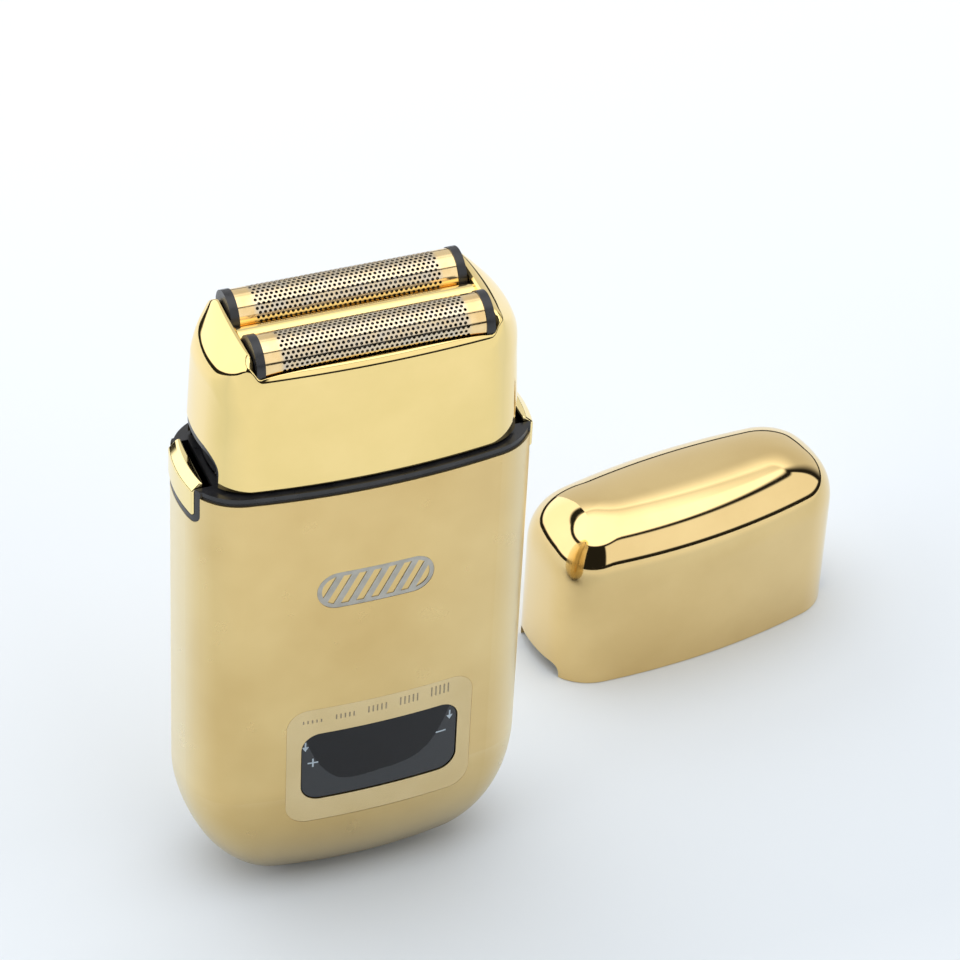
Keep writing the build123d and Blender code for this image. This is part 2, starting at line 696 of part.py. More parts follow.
def cutter_carrier(y):
    """The plastic block under a cutter, with the socket that slides on the bridge's post."""
    x = CUTTER_HALF - CARRIER_SETBACK
    block_body = block(-x, x, y - CARRIER_HALF_Y, y + CARRIER_HALF_Y, CARRIER_LOW, CARRIER_TOP)
    block_body += block(-x, x, y - CARRIER_RIM_HALF_Y, y + CARRIER_RIM_HALF_Y, CARRIER_TOP, FOIL_Z)
    return block_body - rod(0, y, CARRIER_LOW - 1, POST_TOP + 1.7, POST_R + 0.08)


def cutter_spring(y):
    low, high = BRIDGE_HIGH + 0.1, CARRIER_LOW - 0.1
    return coil(0, y, low, high, CARRIER_SPRING_R, CARRIER_SPRING_WIRE, 6)


# ---- foil cassettes ----
def arch_profile(radius, low, y, x0, x1):
    """A round-topped upright prism that runs along X from x0 to x1."""
    top = Pos((x0 + x1) / 2, y, FOIL_Z) * Rot(0, 90, 0) * Cylinder(radius, x1 - x0)
    return top + block(x0, x1, y - radius, y + radius, low, FOIL_Z)


def foil(y):
    sheet = arch_profile(FOIL_R, FOIL_LEG_LOW, y, -FOIL_HALF, FOIL_HALF)
    return sheet - arch_profile(FOIL_R - FOIL_T, FOIL_LEG_LOW - 1, y, -FOIL_HALF - 1, FOIL_HALF + 1)


def foil_cassette(y):
    """The black frame of a foil: an arched cap at each end and a rail along each side."""
    radius = FOIL_R + END_CAP_PROUD
    body = arch_profile(radius, CASSETTE_LOW, y, FOIL_HALF, FOIL_HALF + END_CAP_T)
    body += arch_profile(radius, CASSETTE_LOW, y, -FOIL_HALF - END_CAP_T, -FOIL_HALF)
    for side in (-1, 1):
        y0, y1 = sorted((y + side * RAIL_INNER, y + side * radius))
        body += block(-FOIL_HALF, FOIL_HALF, y0, y1, CASSETTE_LOW, FOIL_LEG_LOW)
    return body


# ---- head ----
def shoulder_profile(inset):
    """The head's outline from the front: open sides below, and rounded shoulders above."""
    height = HEAD_TOP - inset - 80
    face = Plane(origin=(0, 20, 80 + height / 2), x_dir=(1, 0, 0), z_dir=(0, -1, 0))
    profile = RectangleRounded(2 * (SHOULDER_HALF_W - inset), height, SHOULDER_R_X - inset)
    return extrude(face * profile, amount=40) + block(-40, 40, -20, 20, 80, SHOULDER_LOW)


def side_profile(inset):
    """The head's outline from the end: upright front and back with rounded tops."""
    half = HALF_D - HEAD_INSET - inset
    height = HEAD_TOP - inset - 80
    face = Plane(origin=(-40, 0, 80 + height / 2), x_dir=(0, 1, 0), z_dir=(1, 0, 0))
    profile = RectangleRounded(2 * half, height, SHOULDER_R_Y - inset)
    return extrude(face * profile, amount=80)


def head_foot_outline(inset):
    foot = HEAD_INSET + inset
    return oval(HEAD_FOOT_HALF_W - inset, HALF_D - foot, FRONT_R - foot, END_R - foot, CORNER_R - foot)


def head_top_outline(inset, half_w):
    foot = HEAD_INSET + inset
    front_r = HEAD_TOP_FRONT_R - inset
    return oval(half_w - inset, HEAD_TOP_HALF_D - inset, front_r, END_R - foot, CORNER_R - foot)


def head_form(inset, low, high):
    """The head's form: the handle's shape at its foot, narrower and straighter in front at its top."""
    top = Pos(0, 0, HEAD_TOP) * head_top_outline(inset, HEAD_TOP_HALF_W)
    form = loft([Pos(0, 0, HEAD_FORM_LOW) * head_foot_outline(inset), top])
    return form & block(-40, 40, -20, 20, low, high)


def head_block(inset, low):
    """The head's solid form: rounded end shoulders and a lower lip between them."""
    body = head_form(inset, low, HEAD_TOP) & shoulder_profile(inset) & side_profile(inset)
    low_part = head_form(inset, low, LIP_Z - inset)
    middle = block(-LIP_HALF_X - inset, LIP_HALF_X + inset, -20, 20, 80, 130)
    return (body - middle) + (low_part & middle)


def notch(half, top, corner, inset_far, inset_near):
    """The arched recess over a release button, at both ends, between two insets of the outline."""
    zone = ring(inset_near, inset_far, 80, 105)
    shapes = []
    for end in both_ends(end_prism(half, 80, top, corner, 20, 34)):
        shapes.append(end & zone)
    return shapes[0] + shapes[1]


def head_frame():
    frame = head_block(0, HEAD_LOW) - head_block(HEAD_WALL, HEAD_LOW - 5)
    half = FOIL_R + END_CAP_PROUD + OPENING_GAP
    reach = FOIL_HALF + END_CAP_T + OPENING_GAP
    for y in (-FOIL_Y, FOIL_Y):
        frame -= block(-reach, reach, y - half, y + half, 100, 130)
    bar_half = FOIL_Y - half
    bar = Pos(0, 0, LIP_Z - 0.4) * Rot(0, 90, 0) * Cylinder(bar_half, 2 * reach + 0.6)
    frame += bar + block(-reach - 0.3, reach + 0.3, -bar_half, bar_half, LIP_Z - 3.4, LIP_Z - 0.4)
    return frame - notch(NOTCH_HALF_Y, NOTCH_TOP, NOTCH_CORNER, NOTCH_CUT_INSET, -1.0)


def liner_form(gap, low, high):
    """An upright form that clears the head's wall both at its foot and where the liner ends."""
    shared = head_foot_outline(gap) & head_top_outline(gap, LINER_HALF_W)
    return extrude(Pos(0, 0, low) * shared, high - low)


def head_liner(side):
    """The black carrier at one end of the head frame, with the lined recess over its button."""
    gap = HEAD_WALL + LINER_GAP
    body = liner_form(gap, LINER_LOW, LINER_TOP) - liner_form(gap + LINER_T, LINER_LOW - 1, LINER_TOP + 1)
    rim_half, rim_top = NOTCH_HALF_Y - 0.03, NOTCH_TOP - 0.03
    rim = notch(rim_half, rim_top, NOTCH_CORNER, NOTCH_CUT_INSET + 0.3, NOTCH_FACE_INSET)
    box_half, box_top = NOTCH_HALF_Y + 0.6, NOTCH_TOP + 0.6
    box = notch(box_half, box_top, NOTCH_CORNER, RECESS_INSET + RECESS_WALL, NOTCH_CUT_INSET)
    body += (rim + box) & slab(0, HEAD_LOW - 0.1, 110)
    hollow_half = NOTCH_HALF_Y - NOTCH_BORDER
    body -= notch(hollow_half, NOTCH_TOP - NOTCH_BORDER, NOTCH_CORNER - 1, RECESS_INSET, -1.0)
    x0, x1 = sorted((side * LINER_INNER_X, side * 40))
    return body & block(x0, x1, -20, 20, 80, 120)


# ---- buttons and rocker ----
def release_button(side):
    """A metal push button with a bevelled top, and the stem that its spring pushes on."""
    block_body = end_prism(BUTTON_HALF_Y, BUTTON_LOW, BUTTON_TOP, 0.9, side * BUTTON_INNER_X, side * 34)
    block_body &= slab(-BUTTON_PROUD, 80, 100)
    bevel = Pos(side * (HALF_W + 1.9), 0, BUTTON_TOP + 0.9) * Rot(0, side * 45, 0) * Box(2.6, 20, 3.2)
    block_body -= bevel
    x0, x1 = sorted((side * STEM_INNER_X, side * (BUTTON_INNER_X + 1)))
    block_body += block(x0, x1, -STEM_HALF_Y, STEM_HALF_Y, STEM_LOW, STEM_HIGH)
    x0, x1 = sorted((side * STEM_INNER_X, side * (STEM_INNER_X + PAD_T)))
    block_body += block(x0, x1, -STEM_HALF_Y, STEM_HALF_Y, STEM_HIGH, PAD_TOP)
    pocket_x = side * (STEM_INNER_X + 0.6)
    pocket = Pos(pocket_x, 0, RELEASE_SPRING_Z) * Rot(0, 90, 0) * Cylinder(POCKET_R, 1.4)
    return block_body - pocket


def release_spring(side):
    spring = coil(0, 0, 0, RELEASE_SPRING_LENGTH, RELEASE_SPRING_R, RELEASE_SPRING_WIRE, 5)
    x0 = RELEASE_SPRING_X if side > 0 else -RELEASE_SPRING_X - RELEASE_SPRING_LENGTH
    return Pos(x0, 0, RELEASE_SPRING_Z) * Rot(0, 90, 0) * spring


def rocker_key():
    """The glossy display lens, which also rocks to press the + and - switches behind it."""
    key = front_prism(WINDOW_W - 0.4, WINDOW_H - 0.4, WINDOW_CORNER - 0.2, PANEL_X, WINDOW_Z)
    key &= ring(0.25, 2.0, 15, 50)
    for side in (-1, 1):
        key += Pos(PANEL_X + side * SWITCH_X, -11.85, WINDOW_Z) * Rot(90, 0, 0) * Cylinder(1.2, 1.1)
        near, far = sorted((WINDOW_Z + side * PIVOT_NEAR, WINDOW_Z + side * PIVOT_FAR))
        key += rod(PANEL_X, PIVOT_Y, near, far, PIVOT_R)
    return key


# ---- travel cap ----
def travel_cap():
    outer = rounded_body(
        0, CAP_H, CAP_TOP_RISE_X, CAP_TOP_RUN_X, CAP_TOP_RISE_Y, CAP_TOP_RUN_Y, CAP_CROWN_SINK
    )
    inner = rounded_body(
        CAP_WALL, CAP_H + 1, CAP_TOP_RISE_X, CAP_TOP_RUN_X, CAP_TOP_RISE_Y, CAP_TOP_RUN_Y, CAP_CROWN_SINK
    )
    cap = Pos(0, 0, CAP_H) * Rot(180, 0, 0) * (outer - inner)
    for end in both_ends(end_prism(CAP_NOTCH_HALF, -6, CAP_NOTCH_H, 2.0, 24, 34)):
        cap -= end
    return Pos(CAP_X, CAP_Y, 0) * Rot(0, 0, CAP_TURN) * cap


def build():
    housing, rear_cover = housing_and_rear_cover()
    return {
        "housing_shell": housing,
        "rear_cover": rear_cover,
        "label_film": label_film(),
        "emblem": emblem(),
        "collar_gaskets": gaskets(),
        "collar": collar(),
        "drive_deck": drive_deck(),
        "deck_screws": deck_screws(),
        "chassis": chassis(),
        "battery_cell": battery_cell(),
        "battery_tabs": battery_tabs(),
        "main_board": main_board(),
        "display_module": display_module(),
        "board_chips": board_chips(),
        "tact_switches": tact_switches(),
        "charge_board": charge_board(),
        "usb_socket": usb_socket(),
        "motor_can": motor_can(),
        "motor_end_cap": motor_end_cap(),
        "motor_terminals": motor_terminals(),
        "motor_mount": motor_mount(),
        "motor_screws": motor_screws(),
        "motor_shaft": motor_shaft(),
        "eccentric_cam": eccentric_cam(),
        "drive_bridge": drive_bridge(),
        "flexure_legs": flexure_legs(),
        "front_cutter": inner_cutter(-FOIL_Y),
        "rear_cutter": inner_cutter(FOIL_Y),
        "front_cutter_carrier": cutter_carrier(-FOIL_Y),
        "rear_cutter_carrier": cutter_carrier(FOIL_Y),
        "front_cutter_spring": cutter_spring(-FOIL_Y),
        "rear_cutter_spring": cutter_spring(FOIL_Y),
        "front_foil": foil(-FOIL_Y),
        "rear_foil": foil(FOIL_Y),
        "front_foil_cassette": foil_cassette(-FOIL_Y),
        "rear_foil_cassette": foil_cassette(FOIL_Y),
        "head_frame": head_frame(),
        "left_head_liner": head_liner(-1),
        "right_head_liner": head_liner(1),
        "left_release_button": release_button(-1),
        "right_release_button": release_button(1),
        "left_release_spring": release_spring(-1),
        "right_release_spring": release_spring(1),
        "rocker_key": rocker_key(),
        "travel_cap": travel_cap(),
    }


os.makedirs("parts", exist_ok=True)
for name, shape in build().items():
    solids = shape if isinstance(shape, list) else [shape]
    export_step(Compound(children=[s for piece in solids for s in piece.solids()]), f"parts/{name}.step")
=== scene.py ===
import json
import math

import bmesh
import bpy
from mathutils import Matrix, Vector


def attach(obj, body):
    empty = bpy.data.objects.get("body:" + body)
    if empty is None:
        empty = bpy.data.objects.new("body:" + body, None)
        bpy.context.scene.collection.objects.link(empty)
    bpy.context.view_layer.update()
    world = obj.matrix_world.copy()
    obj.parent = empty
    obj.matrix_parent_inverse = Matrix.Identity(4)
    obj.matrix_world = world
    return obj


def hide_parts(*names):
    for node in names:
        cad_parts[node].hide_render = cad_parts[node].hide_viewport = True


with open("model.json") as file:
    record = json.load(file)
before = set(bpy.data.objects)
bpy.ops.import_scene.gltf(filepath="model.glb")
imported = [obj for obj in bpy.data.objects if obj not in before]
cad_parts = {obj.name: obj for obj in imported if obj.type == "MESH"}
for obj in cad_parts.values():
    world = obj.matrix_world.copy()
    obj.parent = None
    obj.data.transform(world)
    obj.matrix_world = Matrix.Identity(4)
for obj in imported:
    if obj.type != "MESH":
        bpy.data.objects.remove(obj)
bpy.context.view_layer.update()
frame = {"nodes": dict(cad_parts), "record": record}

# Lengths in this script are in millimetres until a mesh is made, where MM turns them into metres.
MM = 0.001

# shading is smooth across edges up to this angle, in degrees
SHARP_ANGLE = 35.0

# ---- driving sizes, the same as the part's ----
HALF_W = 31.0
HALF_D = 14.0
FRONT_R = 140.0
END_R = 27.0
CORNER_R = 9.8
ARC_STEPS = (22, 16, 12)

HEAD_LOW = 93.1
HEAD_INSET = 1.3
HEAD_FORM_LOW = 88.0
HEAD_TOP = 119.6
HEAD_TOP_HALF_D = 12.45
HEAD_TOP_FRONT_R = 240.0
HEAD_FOOT_HALF_W = 28.65
HEAD_TOP_HALF_W = 27.0
HEAD_WALL = 1.0
LIP_Z = 116.7
LIP_R = 1.25
LIP_FALL = 3.0
SHOULDER_TOP = 119.45
SHOULDER_FALL = 5.2
SHOULDER_BEND = 1.5
EDGE_RUN = 1.5
EDGE_FALL = 2.4
CORNER_EDGE_FALL = 4.0
SHOULDER_FROM_X = 20.3
SHOULDER_FULL_X = 22.6
OPENING_X = 20.8
OPENING_Y = 10.88
OPENING_CORNER = 0.9
OPENING_EDGE_R = 0.3
NOTCH_HALF_Y = 8.0
NOTCH_TOP = 99.7
NOTCH_DEPTH = 20.0
NOTCH_CORNER = 4.0
NOTCH_REACH = (20.0, 34.0)
# where along Y the shoulders and their steeper corner edges fade in
SHOULDER_FADE_FROM_Y = 7.6
SHOULDER_FADE_LENGTH = 2.4
SHOULDER_SETBACK = 6.0
STEEP_EDGE_FROM_Y = 5.0
STEEP_EDGE_LENGTH = 4.0
SKIN_START_Z = 112.0
SKIN_LEG = 3.0
SKIN_INSIDE_DROP = 4.5
DIVIDER_GAP = 0.33
DIVIDER_DROP = 0.4
DIVIDER_LEG = 3.0
DIVIDER_OVERLAP = 0.3

FOIL_Y = 6.5
FOIL_Z = 117.0
FOIL_R = 4.05
FOIL_T = 0.1
FOIL_HALF = 19.15
FOIL_LEG_LOW = 112.6
HOLE_R = 0.29
HOLE_PITCH = 0.86
PLAIN_END = 2.7
ROW_PITCH = 0.85 * HOLE_PITCH
HOLES_BELOW_ARCH = 0.9

CAP_H = 34.7
CAP_RISE = 12.0
CAP_SQUARE = 2.5
CAP_WALL = 0.8
CAP_PLACE = (82.0, 38.0)
CAP_TURN = 8.0
CAP_NOTCH_HALF = 7.2
CAP_NOTCH_H = 3.0
CAP_NOTCH_LOW = -6.0
CAP_NOTCH_CORNER = 2.0
CAP_NOTCH_REACH = (24.0, 34.0)
CAP_WALL_LEVELS = (0.0, 0.15, 4.0, 9.0, 14.0, 19.0)
CAP_RIM_BREAK = 0.12
CAP_INSIDE_LEVELS = (0.0, 10.0, 20.0)

BUTTON_HALF_Y = 6.3
BUTTON_LOW = 86.9
BUTTON_TOP = 93.4
BUTTON_OUT = 31.15
BUTTON_INNER_X = 28.3
BUTTON_BEVEL = 1.5
BUTTON_EDGE_R = 0.4

KEY_INSET = 0.25
FILM_INSET = 0.03
PANEL_X = 1.9
MARK_LIFT = 0.03
TICK_LIFT = 0.02
TICK_FROM_X = -12.4
TICK_LOW = 41.2
TICK_W = 0.26
TICK_PITCH = 0.8
TICK_GROUP_PITCH = 5.9

# ---- camera ----
CAMERA_AZIMUTH = -23.11
CAMERA_ELEVATION = 38.66
CAMERA_ROLL = 3.15
CAMERA_PLACE = (-0.1945, -0.51174, 0.52126)
CAMERA_LENS = 154.93

# ---- floor ----
# in metres: a painted shade on the floor is darkest on a line just in front of the shaver and fades away
# from it
FLOOR_DIM_Y = -0.07
FLOOR_DIM_BEFORE = 0.09
FLOOR_DIM_BEHIND = 0.28
FLOOR_RADIUS = 2.6


# ---- outline ----
def quarter_outline(half_w, half_d, front_r, end_r, corner_r):
    """A quarter of the eight-arc outline, from the middle of the front to the middle of the +X end."""
    front_c = Vector((0, front_r - half_d))
    end_c = Vector((half_w - end_r, 0))
    gap = (end_c - front_c).length
    from_front = front_r - corner_r
    from_end = end_r - corner_r
    along = (from_front**2 - from_end**2 + gap**2) / (2 * gap)
    aside = math.sqrt(from_front**2 - along**2)
    toward = (end_c - front_c).normalized()
    corner_c = front_c + toward * along + Vector((-toward.y, toward.x)) * aside
    arcs = [
        (front_c, front_r, Vector((0, -1)), corner_c - front_c),
        (corner_c, corner_r, corner_c - front_c, corner_c - end_c),
        (end_c, end_r, corner_c - end_c, Vector((1, 0))),
    ]
    points = []
    for (centre, radius, start, end), count in zip(arcs, ARC_STEPS):
        a0 = math.atan2(start.y, start.x)
        a1 = math.atan2(end.y, end.x)
        for step in range(count):
            angle = a0 + (a1 - a0) * step / count
            points.append((centre.x + radius * math.cos(angle), centre.y + radius * math.sin(angle)))
    points.append((half_w, 0.0))
    return points


def full_outline(half_w, half_d, front_r, end_r, corner_r):
    quarter = quarter_outline(half_w, half_d, front_r, end_r, corner_r)
    back = [(x, -y) for x, y in reversed(quarter)][1:]
    right = quarter + back
    left = [(-x, y) for x, y in reversed(right)][1:-1]
    return right + left


def body_outline(inset):
    return full_outline(HALF_W - inset, HALF_D - inset, FRONT_R - inset, END_R - inset, CORNER_R - inset)


def front_y(x, inset):
    """How far forward the handle's front face is at x."""
    radius = FRONT_R - inset
    return -(HALF_D - inset) + radius - math.sqrt(radius**2 - x**2)


# ---- mesh helpers ----
def new_piece(name, verts, faces, material):
    """A mesh object from points in millimetres, smooth except at its sharp edges."""
    bm = bmesh.new()
    made = [bm.verts.new([c * MM for c in v]) for v in verts]
    for face in faces:
        corners = []
        for index in face:
            if made[index] not in corners:
                corners.append(made[index])
        if len(corners) > 2:
            bm.faces.new(corners)
    bmesh.ops.remove_doubles(bm, verts=bm.verts, dist=1e-7)
    bmesh.ops.dissolve_degenerate(bm, edges=bm.edges, dist=1e-7)
    bmesh.ops.recalc_face_normals(bm, faces=bm.faces)
    return piece_from(bm, name, material)


def piece_from(bm, name, material, sharp_angle=SHARP_ANGLE):
    mesh = bpy.data.meshes.new(name)
    bm.to_mesh(mesh)
    bm.free()
    piece = bpy.data.objects.new(name, mesh)
    bpy.context.scene.collection.objects.link(piece)
    mesh.materials.append(material)
    soften(piece, sharp_angle)
    return piece


def soften(piece, sharp_angle):
    """Smooth shading with sharp edges above an angle."""
    mesh = piece.data
    mesh.polygons.foreach_set("use_smooth", [True] * len(mesh.polygons))
    mesh.set_sharp_from_angle(angle=math.radians(sharp_angle))
    mesh.update()


def bridge_loops(loops):
    """Faces between closed loops of the same length, given as lists of vertex numbers."""
    faces = []
    count = len(loops[0])
    for a, b in zip(loops, loops[1:]):
        for i in range(count):
            j = (i + 1) % count
            faces.append((a[i], a[j], b[j], b[i]))
    return faces


def closed_tube(name, rings, material):
    """A piece from closed rings of points, with the last ring joined to the first."""
    verts = [p for ring in rings for p in ring]
    count = len(rings[0])
    loops = [list(range(r * count, (r + 1) * count)) for r in range(len(rings))]
    loops.append(loops[0])
    return new_piece(name, verts, bridge_loops(loops), material)


def rounded_prism(half_y, low, high, corner, x0, x1):
    """A rounded rectangle in the YZ plane, extruded from x0 to x1, used to cut a notch."""
    steps = 10
    middle = (low + high) / 2
    half_z = (high - low) / 2
    loop = []
    for sy, sz, start in ((1, 1, 0), (-1, 1, 90), (-1, -1, 180), (1, -1, 270)):
        for step in range(steps + 1):
            angle = math.radians(start + 90 * step / steps)
            y = sy * (half_y - corner) + corner * math.cos(angle)
            z = middle + sz * (half_z - corner) + corner * math.sin(angle)
            loop.append((y, z))
    bm = bmesh.new()
    near = [bm.verts.new((x0 * MM, y * MM, z * MM)) for y, z in loop]
    far = [bm.verts.new((x1 * MM, y * MM, z * MM)) for y, z in loop]
    bm.faces.new(near)
    bm.faces.new(far)
    for i in range(len(loop)):
        j = (i + 1) % len(loop)
        bm.faces.new((near[i], near[j], far[j], far[i]))
    bmesh.ops.recalc_face_normals(bm, faces=bm.faces)
    mesh = bpy.data.meshes.new("cutter")
    bm.to_mesh(mesh)
    bm.free()
    cutter = bpy.data.objects.new("cutter", mesh)
    bpy.context.scene.collection.objects.link(cutter)
    return cutter


def apply_modifiers(piece):
    """Puts the result of a piece's modifiers in place of its mesh."""
    bpy.context.view_layer.update()
    graph = bpy.context.evaluated_depsgraph_get()
    mesh = bpy.data.meshes.new_from_object(piece.evaluated_get(graph))
    piece.modifiers.clear()
    piece.data = mesh


def cut(piece, cutter):
    """Cuts one closed mesh out of another and removes the cutter."""
    modifier = piece.modifiers.new("cut", "BOOLEAN")
    modifier.operation = "DIFFERENCE"
    modifier.solver = "EXACT"
    modifier.object = cutter
    apply_modifiers(piece)
    bpy.data.objects.remove(cutter)


def bevel(piece, width, segments):
    """Rounds a piece's sharp edges."""
    modifier = piece.modifiers.new("bevel", "BEVEL")
    modifier.width = width * MM
    modifier.segments = segments
    modifier.limit_method = "ANGLE"
    modifier.angle_limit = math.radians(SHARP_ANGLE)
    modifier.harden_normals = True


def smooth01(value):
    """A smooth step from 0 at 0 to 1 at 1."""
    value = min(1.0, max(0.0, value))
    return value * value * (3 - 2 * value)


# ---- material helpers ----
class Shader:
    """A Principled material with short calls for its nodes."""

    def __init__(self, name, **sockets):
        self.material = bpy.data.materials.new(name)
        self.material.use_nodes = True
        self.tree = self.material.node_tree
        self.bsdf = self.tree.nodes["Principled BSDF"]
        for key, value in sockets.items():
            socket = self.bsdf.inputs[key.replace("_", " ")]
            socket.default_value = (*value, 1.0) if isinstance(value, tuple) else value
        coords = self.tree.nodes.new("ShaderNodeTexCoord")
        self.coords = coords.outputs["Object"]

    def noise(self, scale, detail, stretch=(1, 1, 1)):
        """Noise over the piece, with scale in features per metre."""
        mapping = self.tree.nodes.new("ShaderNodeMapping")
        mapping.inputs["Scale"].default_value = stretch
        texture = self.tree.nodes.new("ShaderNodeTexNoise")
        texture.inputs["Scale"].default_value = scale
        texture.inputs["Detail"].default_value = detail
        self.tree.links.new(self.coords, mapping.inputs["Vector"])
        self.tree.links.new(mapping.outputs["Vector"], texture.inputs["Vector"])
        return texture.outputs["Fac"]

    def ramp(self, value, low, high, out_low, out_high):
        """Maps a value from one range to another, without going past its ends."""
        node = self.tree.nodes.new("ShaderNodeMapRange")
        node.inputs["From Min"].default_value = low
        node.inputs["From Max"].default_value = high
        node.inputs["To Min"].default_value = out_low
        node.inputs["To Max"].default_value = out_high
        self.tree.links.new(value, node.inputs["Value"])
        return node.outputs["Result"]

    def two_colours(self, value, low_colour, high_colour):
        """Sets the base colour between two colours by a noise value."""
        node = self.tree.nodes.new("ShaderNodeValToRGB")
        node.color_ramp.elements[0].position = 0.35
        node.color_ramp.elements[1].position = 0.65
        node.color_ramp.elements[0].color = (*low_colour, 1)
        node.color_ramp.elements[1].color = (*high_colour, 1)
        self.tree.links.new(value, node.inputs["Fac"])
        self.tree.links.new(node.outputs["Color"], self.bsdf.inputs["Base Color"])

    def mix_in(self, factor, colour):
        """Mixes a colour into the base colour by a factor."""
        node = self.tree.nodes.new("ShaderNodeMix")
        node.data_type = "RGBA"
        node.inputs["B"].default_value = (*colour, 1)
        socket = self.bsdf.inputs["Base Color"]
        self.tree.links.new(socket.links[0].from_socket, node.inputs["A"])
        self.tree.links.new(factor, node.inputs["Factor"])
        self.tree.links.new(node.outputs["Result"], socket)

    def facing(self):
        """0 where a surface faces the viewer and 1 at its edge."""
        return self.tree.nodes.new("ShaderNodeLayerWeight").outputs["Facing"]

    def axis(self, name):
        """A coordinate of the point in the piece, in metres."""
        node = self.tree.nodes.new("ShaderNodeSeparateXYZ")
        self.tree.links.new(self.coords, node.inputs["Vector"])
        return node.outputs[name]

    def math(self, operation, a, b=None, c=None):
        node = self.tree.nodes.new("ShaderNodeMath")
        node.operation = operation
        for socket, value in zip(node.inputs, (a, b, c)):
            if isinstance(value, (int, float)):
                socket.default_value = value
            elif value is not None:
                self.tree.links.new(value, socket)
        return node.outputs["Value"]

    def roughness(self, value, low, high):
        """Sets the roughness between two values by a noise value."""
        self.tree.links.new(self.ramp(value, 0.3, 0.7, low, high), self.bsdf.inputs["Roughness"])

    def bump(self, value, depth, distance):
        """A bump of the given height in metres, weakened by depth."""
        node = self.tree.nodes.new("ShaderNodeBump")
        node.inputs["Strength"].default_value = depth
        node.inputs["Distance"].default_value = distance
        self.tree.links.new(value, node.inputs["Height"])
        self.tree.links.new(node.outputs["Normal"], self.bsdf.inputs["Normal"])


def gold(name, dark, light, rough_low, rough_high, grain_depth):
    """Gold plate: slow blotches of colour, uneven gloss and a fine grain."""
    shader = Shader(name, Metallic=1.0)
    shader.two_colours(shader.noise(70, 4), dark, light)
    shader.roughness(shader.noise(160, 5), rough_low, rough_high)
    if grain_depth:
        shader.bump(shader.noise(9000, 2), grain_depth, 0.00002)
    return shader.material


def satin_gold():
    """The handle's satin plate, with a painted sheen, paler, where it turns away at its edges, and painted
    shade, darker, toward its foot.
    """
    shader = Shader("satin_gold", Metallic=1.0)
    shader.two_colours(shader.noise(45, 3), (0.7, 0.5, 0.21), (0.78, 0.58, 0.26))
    # painted sheen: the base colour turns paler where the surface turns away from the viewer
    shader.mix_in(shader.ramp(shader.facing(), 0.3, 0.8, 0.0, 0.75), (0.95, 0.84, 0.56))
    # painted shade: the base colour darkens over the lowest 26 mm, toward the foot
    shader.mix_in(shader.ramp(shader.axis("Z"), 0.0, 0.026, 0.72, 0.0), (0.22, 0.16, 0.075))
    shader.roughness(shader.noise(160, 5), 0.27, 0.33)
    shader.bump(shader.noise(9000, 2), 0.25, 0.00002)
    return shader.material


def mirror_gold(name, dark, light, grazing_sheen_colour):
    """Polished gold plate with a painted sheen, a little paler, on the walls that turn away from the
    viewer.
    """
    shader = Shader(name, Metallic=1.0)
    shader.two_colours(shader.noise(70, 4), dark, light)
    # painted sheen: the base colour turns paler toward edge-on walls
    shader.mix_in(shader.ramp(shader.facing(), 0.35, 0.65, 0.0, 1.0), grazing_sheen_colour)
    shader.roughness(shader.noise(160, 5), 0.04, 0.06)
    return shader.material


def foil_gold():
    """Gold foil that is paler and more silvery where it is perforated."""
    shader = Shader("foil_gold", Metallic=1.0)
    shader.two_colours(shader.noise(300, 4), (0.8, 0.56, 0.26), (0.9, 0.68, 0.36))
    from_middle = shader.math("ABSOLUTE", shader.axis("X"))
    edge = (FOIL_HALF - PLAIN_END) * MM
    worn = shader.ramp(from_middle, edge - 0.0006, edge + 0.0002, 1.0, 0.0)
    patches = shader.ramp(shader.noise(700, 4), 0.35, 0.65, 0.55, 1.0)
    shader.mix_in(shader.math("MULTIPLY", worn, patches), (0.62, 0.54, 0.42))
    shader.roughness(shader.noise(900, 4), 0.08, 0.14)
    return shader.material


def lens_gloss():
    """The key's smoked lens: near black, with a painted reflection of a dished lens, a greyer patch, under
    and beside the black.
    """
    shader = Shader("display_gloss", Roughness=0.05, Specular_IOR_Level=0.35)
    shader.two_colours(shader.noise(300, 3), (0.002, 0.002, 0.003), (0.004, 0.004, 0.006))
    # painted reflection: below a curved, tilted edge the lens colour is mixed toward grey
    half_w, rise, middle_z, tilt, waver = 0.0135, 0.011, 0.0263, 0.1, 0.0008
    from_middle = shader.math("SUBTRACT", shader.axis("X"), PANEL_X * MM)
    across = shader.math("ABSOLUTE", shader.math("MULTIPLY", from_middle, 1 / half_w))
    edge = shader.math("MULTIPLY_ADD", shader.math("POWER", across, 4.0), rise, middle_z)
    edge = shader.math("ADD", edge, shader.math("MULTIPLY", shader.axis("X"), tilt))
    edge = shader.math("ADD", edge, shader.math("MULTIPLY", shader.noise(260, 2), waver))
    in_painted_reflection = shader.math("SUBTRACT", edge, shader.axis("Z"))
    shader.mix_in(shader.ramp(in_painted_reflection, -0.0001, 0.0001, 0.0, 1.0), (0.04, 0.043, 0.047))
    return shader.material


def plastic(name, dark, light, rough_low, rough_high):
    """Moulded plastic: a faint change of colour and a fine spark-eroded grain."""
    shader = Shader(name)
    shader.two_colours(shader.noise(300, 3), dark, light)
    shader.roughness(shader.noise(600, 4), rough_low, rough_high)
    shader.bump(shader.noise(6000, 2), 0.12, 0.00003)
    return shader.material


def metal(name, dark, light, rough_low, rough_high, stretch=(1, 1, 1)):
    """Steel and other bare metals, with turning or rolling marks along the stretched way."""
    shader = Shader(name, Metallic=1.0)
    shader.two_colours(shader.noise(500, 4, stretch), dark, light)
    shader.roughness(shader.noise(900, 4, stretch), rough_low, rough_high)
    shader.bump(shader.noise(4000, 2, stretch), 0.1, 0.00002)
    return shader.material


